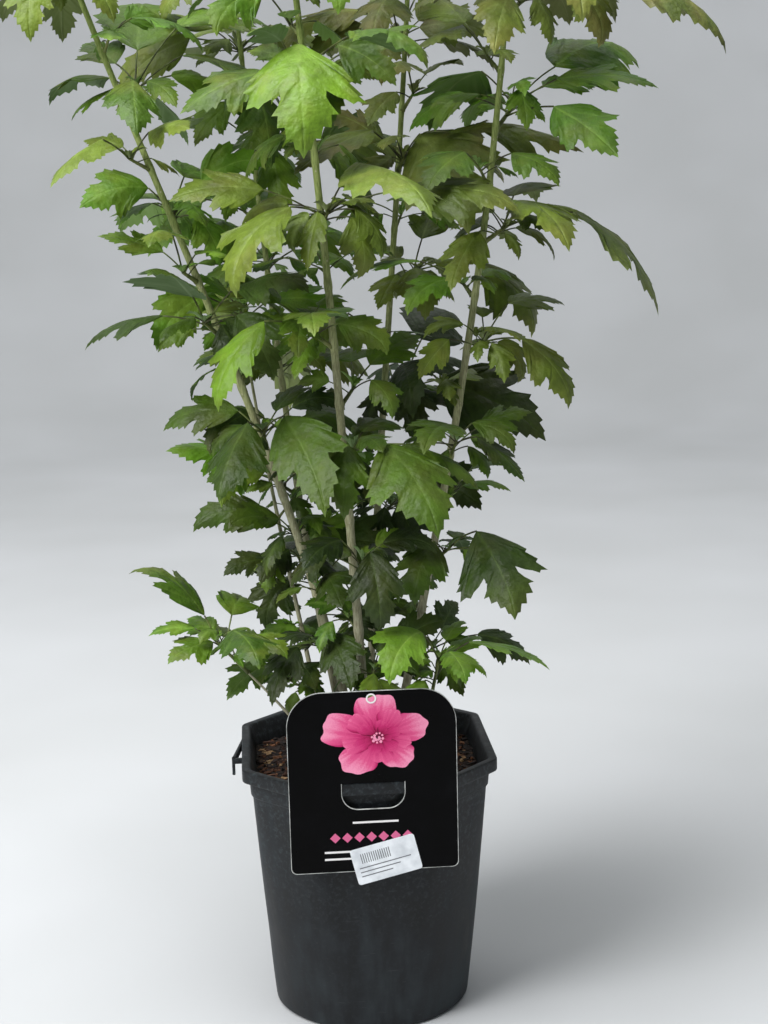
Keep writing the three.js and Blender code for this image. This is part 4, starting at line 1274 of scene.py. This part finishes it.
def lug_blocks():
    """The bar that slopes away from the rim, its arm and its tooth: size, middle, turn and taper."""
    top = POT_HEIGHT - LUG_DROP
    middle_z = top - LUG_HEIGHT / 2
    run, out = LUG_BACK - LUG_FRONT, LUG_OUT + LUG_BAR / 2
    middle_x = -RIM_FLAT - LUG_OUT / 2 + LUG_BAR / 4
    bar_size = (LUG_BAR, math.hypot(run, out), LUG_HEIGHT)
    bar = (bar_size, (middle_x, (LUG_BACK + LUG_FRONT) / 2, middle_z), -math.atan2(out, run), 1)
    end_x = -(RIM_FLAT + LUG_OUT)
    arm_middle = (end_x + LUG_OUT / 2 + 1, LUG_FRONT + LUG_BAR / 2, middle_z)
    arm = ((LUG_OUT + 2, LUG_BAR, LUG_HEIGHT - 1), arm_middle, 0, 1)
    tall = LUG_TOOTH + LUG_HEIGHT
    tooth_middle = (end_x, LUG_FRONT + LUG_TOOTH_LENGTH / 2, top - tall / 2)
    tooth = ((LUG_BAR, LUG_TOOTH_LENGTH, tall), tooth_middle, 0, LUG_TOOTH_TAPER)
    return bar, arm, tooth


def bevelled(size, middle, turn, taper, edge=0.4):
    """A block with chamfered edges that narrows to taper at its foot, in the part's frame."""
    size = np.array(size, float) / 2
    rings = []
    for z, inset in ((-1, edge), (-1, 0), (1, 0), (1, edge)):
        height = z * (size[2] - (edge if inset == 0 else 0))
        x, y = size[0] - inset, size[1] - inset
        narrow = taper if z < 0 else 1
        corners = [(x - edge, -y), (x, -y + edge), (x, y - edge), (x - edge, y)]
        corners += [(-x + edge, y), (-x, y - edge), (-x, -y + edge), (-x + edge, -y)]
        rings.append([(a, b * narrow, height) for a, b in corners])
    points, faces = lofted(rings)
    x, y, z = points.T
    return turned(np.stack([*spun(x, y, turn), z], axis=-1) + middle), faces


# Pieces: soil


def soil_height(x, y, edge):
    """Height of the crumbly surface; edge is the share of the way out to the wall."""
    big = noise.noise(Vector((x / 30, y / 30, 3)))
    small = noise.noise(Vector((x / 7, y / 7, 9)))
    tiny = noise.noise(Vector((x / 2.4, y / 2.4, 5)))
    level = SOIL_TOP - SOIL_EDGE_DROP * max(0, edge - 0.5) * 2
    return level + SOIL_RELIEF * (0.5 * big + 0.45 * small + 0.3 * tiny) - 0.6


def make_soil():
    inset = BAND_STEP + POT_WALL + SOIL_ROOM
    angles = round_turns(SOIL_STEPS)
    top = SOIL_TOP - SOIL_EDGE_DROP
    rings = []
    for height in (FLOOR_THICKNESS + GAP, top / 3, 2 * top / 3, top - 4):
        far = wall_distance(angles, *body_walls(height, inset)) - 0.6
        rings.append(ring(height, far, angles))
    far = far + SOIL_SPREAD
    for share in np.linspace(1, 0.01, SOIL_RINGS):
        surface = ring(0.0, far * share, angles)
        surface[:, 2] = [soil_height(x, y, share) for x, y, _ in surface]
        rings.append(surface)
    points, faces = lofted(rings)
    single("soil_bed", (turned(points), faces), peat(), "soil", "soil")
    make_chips(far)


CHIP_SQUARE = ((-1, -1), (1, -1), (1, 1), (-1, 1))
CHIP_CORNERS = np.array([(x, y, z) for z in (-1, 1) for x, y in CHIP_SQUARE])
CHIP_FACES = [(3, 2, 1, 0), (4, 5, 6, 7), (0, 1, 5, 4), (1, 2, 6, 5), (2, 3, 7, 6), (3, 0, 4, 7)]


def chip_size(is_crumb, draw):
    """Chips are long and flat and most of them are short ones. Crumbs are as long as they are wide."""
    if is_crumb:
        return np.ones(3) * between(CRUMB_SIZE, draw)
    long, wide, thick = CHIP_SIZES
    return np.array([mix(*long, draw() ** 2), between(wide, draw), between(thick, draw)])


def make_chips(far):
    """Bark chips and crumbs strewn over the soil, as one joined piece."""
    chips = Joined()
    draw = seeded(CHIP_SEED)
    for number in range(CHIP_COUNT + CRUMB_COUNT):
        turn = draw() * 2 * math.pi
        wall = np.interp(turn, np.arange(SOIL_STEPS + 1) / SOIL_STEPS * 2 * math.pi, [*far, far[0]])
        share = math.sqrt(draw()) * 0.97
        x, y = wall * share * math.cos(turn), wall * share * math.sin(turn)
        size = chip_size(number >= CHIP_COUNT, draw)
        ragged = np.array([[between(CHIP_RAGGED, draw) for _ in range(3)] for _ in CHIP_CORNERS])
        spin = Matrix.Rotation(draw() * 2 * math.pi, 3, "Z")
        spin = spin @ Matrix.Rotation(between(CHIP_TILT, draw), 3, "X")
        lying = (CHIP_CORNERS * ragged * size / 2) @ np.array(spin).T
        z = soil_height(x, y, share) + size[2] * 0.3
        chips.take(turned(lying + (x, y, z)), CHIP_FACES, tone=draw())
    chips.piece("bark_chips", (bark_chips(),), "soil", ("soil",), smooth=False)


# Pieces: card label


def arc(centre, radius, start, end, steps):
    turns = np.linspace(start, end, steps) * DEGREE
    return [(centre[0] + radius * math.cos(a), centre[1] + radius * math.sin(a)) for a in turns]


def card_outline(inset):
    half, foot, corner = CARD_WIDTH / 2 - inset, CARD_FOOT_CORNER, CARD_CORNER - inset
    low, top = CARD_BOTTOM + inset, CARD_TOP - inset
    line = arc((half - foot, low + foot), foot, -90, 0, 7)
    line += arc((half - corner, top - corner), corner, 0, 90, 17)
    line += arc((corner - half, top - corner), corner, 90, 180, 17)
    return line + arc((foot - half, low + foot), foot, 180, 270, 7)


def tongue_opening(margin):
    half = TONGUE_WIDTH / 2 + margin
    top = POT_HEIGHT + GAP
    corner = TONGUE_REACH * 0.6 + margin
    bottom = top - TONGUE_REACH - margin + corner
    line = [(-half, top), (half, top)]
    line += arc((half - corner, bottom), corner, 0, -90, 11)
    return line + arc((corner - half, bottom), corner, -90, -180, 11)


def cut_plate(name, lines, thickness):
    """A flat plate with openings, from outlines in its own plane, standing upright and centred on y 0."""
    curve = bpy.data.curves.new(name, "CURVE")
    curve.dimensions, curve.fill_mode, curve.extrude = "2D", "BOTH", thickness / 2
    for line in lines:
        spline = curve.splines.new("POLY")
        spline.points.add(len(line) - 1)
        spline.points.foreach_set("co", np.array([(x, z, 0, 1) for x, z in line]).ravel())
        spline.use_cyclic_u = True
    holder = link(bpy.data.objects.new(name, curve))
    mesh = evaluated_mesh(holder)
    bpy.data.objects.remove(holder)
    points = np.zeros(len(mesh.vertices) * 3)
    mesh.vertices.foreach_get("co", points)
    x, z, y = points.reshape(-1, 3).T
    return np.stack([x, -y, z], -1), [tuple(face.vertices) for face in mesh.polygons]


def on_card(points, lift):
    """Points of the card's plane, moved onto its front face by lift and turned with the pot."""
    return turned(np.asarray(points, float) + (CARD_MIDDLE, -(RIM_FLAT + GAP + CARD_THICKNESS) - lift, 0))


def label_piece(name, joined, material):
    joined.piece(name, (material,), "card", ("card_label",), False)


def make_card():
    """A board cut out with its hole and opening, and black ink that stops a little short of the cuts."""
    ink = black_card()
    # Cut edge and reverse of the card: bare white board, slightly soiled
    board = paper("bare_card_board", 6, 4, ((0.35, "#8d8f8c"), (0.6, "#c4c6c3")), 0.8)
    hole = arc((0, CARD_TOP - CARD_HOLE_DROP), CARD_HOLE_RADIUS, 0, 345, 24)
    layers = (("card", board, 0, CARD_THICKNESS, -1), ("card_ink", ink, INK_MARGIN, INK_THICKNESS, 1))
    for name, material, margin, thickness, way in layers:
        lines = [card_outline(margin), hole, tongue_opening(margin)]
        points, faces = cut_plate(name, lines, thickness)
        plate = (on_card(points, way * thickness / 2), faces)
        single(name, plate, material, "card", "card_label", False)
    make_tongue(ink)
    make_bloom()
    make_print()
    make_sticker()


def make_tongue(ink):
    """The tongue folds back over the rim and hangs down inside the pot."""
    front = -(RIM_FLAT + GAP + CARD_THICKNESS / 2)
    inside = -(BODY_FLAT - BAND_STEP - POT_WALL) + GAP + CARD_THICKNESS / 2
    over = POT_HEIGHT + GAP + CARD_THICKNESS / 2
    path = [(front, over - 0.45), (front + 0.5, over), (inside - 0.5, over), (inside, over - 0.6)]
    path += [(inside + 0.1 * i, over - TONGUE_INSIDE * i / 4) for i in range(1, 5)]
    halves = [TONGUE_WIDTH / 2] * 5 + [TONGUE_WIDTH / 2 - 1, TONGUE_WIDTH / 2 - 4, TONGUE_WIDTH / 2 - 9]
    path = np.array(path)
    rings = []
    for (y, z), (dy, dz), half in zip(path, directions(path) * CARD_THICKNESS / 2, halves):
        over_side, under_side = (y - dz, z + dy), (y + dz, z - dy)
        rings.append([(-half, *over_side), (half, *over_side), (half, *under_side), (-half, *under_side)])
    points, faces = lofted(rings)
    tongue = (turned(points + (CARD_MIDDLE, 0, 0)), [face[::-1] for face in faces])
    single("card_tongue", tongue, ink, "card", "card_label", False)


BLOOM_MIDDLE = (4, 222)
BLOOM_RADIUS = 33
BLOOM_STRETCH = (1.12, 0.88)
# Petals in each layer, their length as a share of the radius, their spread and first turn in degrees,
# and how much darker they are
BLOOM_LAYERS = (
    (5, 1, 34, 94, 0), (5, 0.7, 30, 130, 0.12), (6, 0.46, 28, 84, 0.27), (5, 0.27, 30, 60, 0.42),
)
BLOOM_SEED = 88
PETAL_LENGTHS = (0.84, 1.05)
PETAL_ROWS = (0.03, 0.25, 0.45, 0.62, 0.78, 0.9, 1)
PETAL_COLUMNS = 23
LAYER_LIFT = 0.012
TUFT_DOTS = 14
TUFT_DOT = (0.6, 1.1)
PRINT_THICKNESS = 0.05
PRINT_LIFT = INK_THICKNESS + 0.02


def petal(radius, spread, turn, lift, dark, draw):
    """One printed petal: a fan of streaked rows, deeper in shade at its foot and along one edge."""
    rows, columns = PETAL_ROWS, np.linspace(-1, 1, PETAL_COLUMNS)
    phase, lean = draw() * 6, mix(-7, 7, draw())
    streaks = [mix(-0.1, 0.1, draw()) for _ in columns]
    points, tones = [], []
    for face in (1, 0):
        for t in rows:
            for j, streak in zip(columns, streaks):
                wave = 1 + 0.035 * math.sin(5 * j + phase) + 0.02 * math.sin(11 * j + 2 * phase)
                far = radius * t * mix(1, (1 - 0.26 * abs(j) ** 3) * wave, t)
                fan = spread * (0.62 + 0.38 * math.sin(math.pi * t * 0.72))
                angle = (turn + lean * t + j * fan) * DEGREE
                x, z = far * math.cos(angle) * BLOOM_STRETCH[0], far * math.sin(angle) * BLOOM_STRETCH[1]
                points.append((BLOOM_MIDDLE[0] + x, -lift - PRINT_THICKNESS * face, BLOOM_MIDDLE[1] + z))
                fold = 0.5 * max(0, j) ** 5 + 0.16 * max(0, -j) ** 4
                tones.append(dark + 0.6 * (1 - t) ** 1.3 + streak * (1.3 - t) + fold)
    wide, deep = len(columns), len(rows)
    back = wide * deep
    faces = []
    for r in range(deep - 1):
        for c in range(wide - 1):
            a = r * wide + c
            faces.append((a, a + wide, a + wide + 1, a + 1))
            faces.append((back + a, back + a + 1, back + a + wide + 1, back + a + wide))
    rim = [*range(wide), *range(2 * wide - 1, back, wide), *range(back - 2, back - wide - 1, -1)]
    rim += range(back - 2 * wide, 0, -wide)
    for a, b in zip(rim, [*rim[1:], rim[0]]):
        faces.append((a, b, back + b, back + a))
    return points, faces, np.array(tones)


def make_bloom():
    """A generic open pink bloom: rings of petals round a pale tuft."""
    bloom = Joined()
    draw = seeded(BLOOM_SEED)
    lift = PRINT_LIFT
    for count, share, spread, first, dark in BLOOM_LAYERS:
        for i in range(count):
            radius = BLOOM_RADIUS * share * between(PETAL_LENGTHS, draw)
            points, faces, tones = petal(radius, spread, first + i * 360 / count, lift, dark, draw)
            bloom.take(on_card(points, 0), faces, tone=tones)
            lift += LAYER_LIFT
    for i in range(TUFT_DOTS):
        angle, far = i * GOLDEN_ANGLE, 1.1 * math.sqrt(i + 0.5)
        middle = (BLOOM_MIDDLE[0] + far * math.cos(angle), BLOOM_MIDDLE[1] + far * math.sin(angle))
        dot = arc(middle, between(TUFT_DOT, draw), 0, 324, 10)
        take_print(bloom, dot, lift, tone=-0.2)
    pinks = ((0, "#ec93b3"), (0.14, "#da5688"), (0.38, "#c02d6a"), (0.68, "#941447"), (1, "#4c0624"))
    label_piece("printed_bloom", bloom, printed_ink("printed_pink_ink", *pinks))


def take_print(joined, line, lift, **marks):
    """A closed outline of the card's plane, as thick as a print, lifted off the card."""
    points, faces = lofted([[(x, y, z) for x, z in line] for y in (-lift, -lift - PRINT_THICKNESS)])
    joined.take(on_card(points, 0), faces, **marks)


def bar(x, z, width, height, tilt=0.0, corner=0.0):
    """Outline of a bar about its middle, tilted in the card's plane, with or without round corners."""
    half, tall = width / 2, height / 2
    line = [(-half, -tall), (half, -tall), (half, tall), (-half, tall)]
    if corner:
        line = []
        for cx, cz, start in ((half, tall, 0), (-half, tall, 90), (-half, -tall, 180), (half, -tall, 270)):
            centre = (cx - math.copysign(corner, cx), cz - math.copysign(corner, cz))
            line += arc(centre, corner, start, start + 90, 6)
    return [(x + a, z + b) for a, b in (spun(*point, tilt) for point in line)]


# Middle, width and height of the plain lines on the card, and of the bars on its sticker
RULES = ((1, 162.5, 31, 1.4), (-3, 142, 62, 1.4), (-8, 137, 52, 1.4))
STICKER_BARS = (
    *[(-16 + i * 1.5, 5, 0.6, 7) for i in range(14)],
    (-1, -1.5, 36, 0.7), (-5, -4.5, 28, 0.7), (-8, -7.5, 22, 0.7),
)
LOZENGES = 7
LOZENGE_FIRST = (-26.6, 152)
LOZENGE_STEP = 8.2
LOZENGE_SIDE = 5
HOLE_RING = (1.3, 0.2)


def make_print():
    """Plain ornament: a rule, two pale lines, a row of pink lozenges and a ring round the hole."""
    pink, pale = Joined(), Joined()
    for rule in RULES:
        take_print(pale, bar(*rule), PRINT_LIFT, tone=0.1)
    for i in range(LOZENGES):
        x, z = LOZENGE_FIRST[0] + i * LOZENGE_STEP, LOZENGE_FIRST[1]
        lozenge = bar(x, z, LOZENGE_SIDE, LOZENGE_SIDE, 45 * DEGREE)
        take_print(pink, lozenge, PRINT_LIFT, tone=0.55)
    hole = (0, CARD_TOP - CARD_HOLE_DROP)
    rings = [arc(hole, CARD_HOLE_RADIUS + width, 0, 350, 36) for width in HOLE_RING]
    points, faces = cut_plate("hole_ring", rings, PRINT_THICKNESS)
    pale.take(on_card(points, INK_THICKNESS + 0.4), faces, tone=0.0)
    white = printed_ink("printed_white_ink", (0, "#e9e6e6"), (1, "#b9b6b6"))
    rose = printed_ink("printed_rose_ink", (0, "#f08db4"), (1, "#b02860"))
    label_piece("printed_lines", pale, white)
    label_piece("printed_lozenges", pink, rose)


STICKER_MIDDLE = (7.5, 135.2)
STICKER_SIZE = (45, 26)
STICKER_CORNER = 2
STICKER_TILT = 13.5 * DEGREE
STICKER_LIFT = 0.12
STICKER_INK_LIFT = 0.18


def make_sticker():
    """A bare white sticker with plain grey bars."""
    sticker, bars = Joined(), Joined()
    x, z = STICKER_MIDDLE
    take_print(sticker, bar(x, z, *STICKER_SIZE, STICKER_TILT, STICKER_CORNER), STICKER_LIFT)
    for a, b, width, height in STICKER_BARS:
        right, up = spun(a, b, STICKER_TILT)
        line = bar(x + right, z + up, width, height, STICKER_TILT)
        take_print(bars, line, STICKER_INK_LIFT, tone=0.6)
    grey = printed_ink("printed_grey_ink", (0, "#8a8d91"), (1, "#4c4f53"))
    # White sticker paper, faintly greyed by handling and a little smoother than board
    white = paper("white_sticker_paper", 9, 4, ((0.3, "#c9ced3"), (0.6, "#e6eaee")), 0.55)
    label_piece("sticker", sticker, white)
    label_piece("sticker_bars", bars, grey)


# Stage and light

FLOOR_REACH = 2600
CURVE_RADIUS = 1400
BACKDROP_TOP = 3400
STAGE_DROP = 0.2
STAGE_ROUND = 96


def make_stage():
    """Seamless paper all round: a floor that curves up into a wall, open at the top."""
    profile = [(0.5, 0), (FLOOR_REACH / 2, 0)]
    profile += arc((FLOOR_REACH, CURVE_RADIUS), CURVE_RADIUS, -90, 0, 13)
    profile.append((FLOOR_REACH + CURVE_RADIUS, BACKDROP_TOP))
    points, faces = lofted([ring(z - STAGE_DROP, reach, round_turns(STAGE_ROUND)) for reach, z in profile])
    mesh = bpy.data.meshes.new("floor")
    mesh.from_pydata(points * MM, [], [face[::-1] for face in faces[:-1]])
    mesh.shade_smooth()
    # Pale seamless paper, with a cloud so wide and weak that it only breaks the evenness
    pale = ((0.3, "#b4b6b7"), (0.7, "#bdbfc1"))
    mesh.materials.append(paper("pale_studio_paper", 400, 2, pale, 0.9))
    link(bpy.data.objects.new("floor", mesh))


def soft_light(name, place, target, size, power, tint="#ffffff"):
    data = bpy.data.lights.new(name, "AREA")
    data.shape, data.size, data.energy = "DISK", size, power
    data.color = linear(tint)[:3]
    light = link(bpy.data.objects.new(name, data))
    aim = Vector(target) - Vector(place)
    turn = aim.to_track_quat("-Z", "Y").to_matrix().to_4x4()
    light.matrix_world = Matrix.Translation(Vector(place)) @ turn


def make_light():
    """A window-like light from the front left, a skylight on the crown, a weak fill from the right and
    a wide ceiling light behind. Lengths here are metres."""
    soft_light("window", (-1.6, -1.5, 1.9), (0, 0, 0.5), 1.2, 62)
    soft_light("skylight", (-0.35, -0.35, 2.15), (0, 0, 0.6), 1.1, 44)
    soft_light("fill", (1.9, -1.5, 1.0), (0, 0, 0.5), 1.4, 2.5, "#f4f7ff")
    soft_light("ceiling", (-0.4, 1.6, 3.2), (-0.4, 2.2, 0.6), 4.5, 60)
    world = bpy.data.worlds.new("studio")
    world.use_nodes = True
    background = world.node_tree.nodes["Background"]
    background.inputs["Color"].default_value = linear("#dde2e6")
    background.inputs["Strength"].default_value = 0.38
    bpy.context.scene.world = world
    bpy.context.scene.view_settings.view_transform = "Standard"


# Making

room = Room()
shoots = main_shoots()
grow_main(shoots)
spurs = spur_shoots()
grow_fine(shoots, spurs)
make_canes(shoots, spurs)
make_foliage(shoots, spurs)
make_pot()
make_soil()
make_card()
make_stage()
make_light()
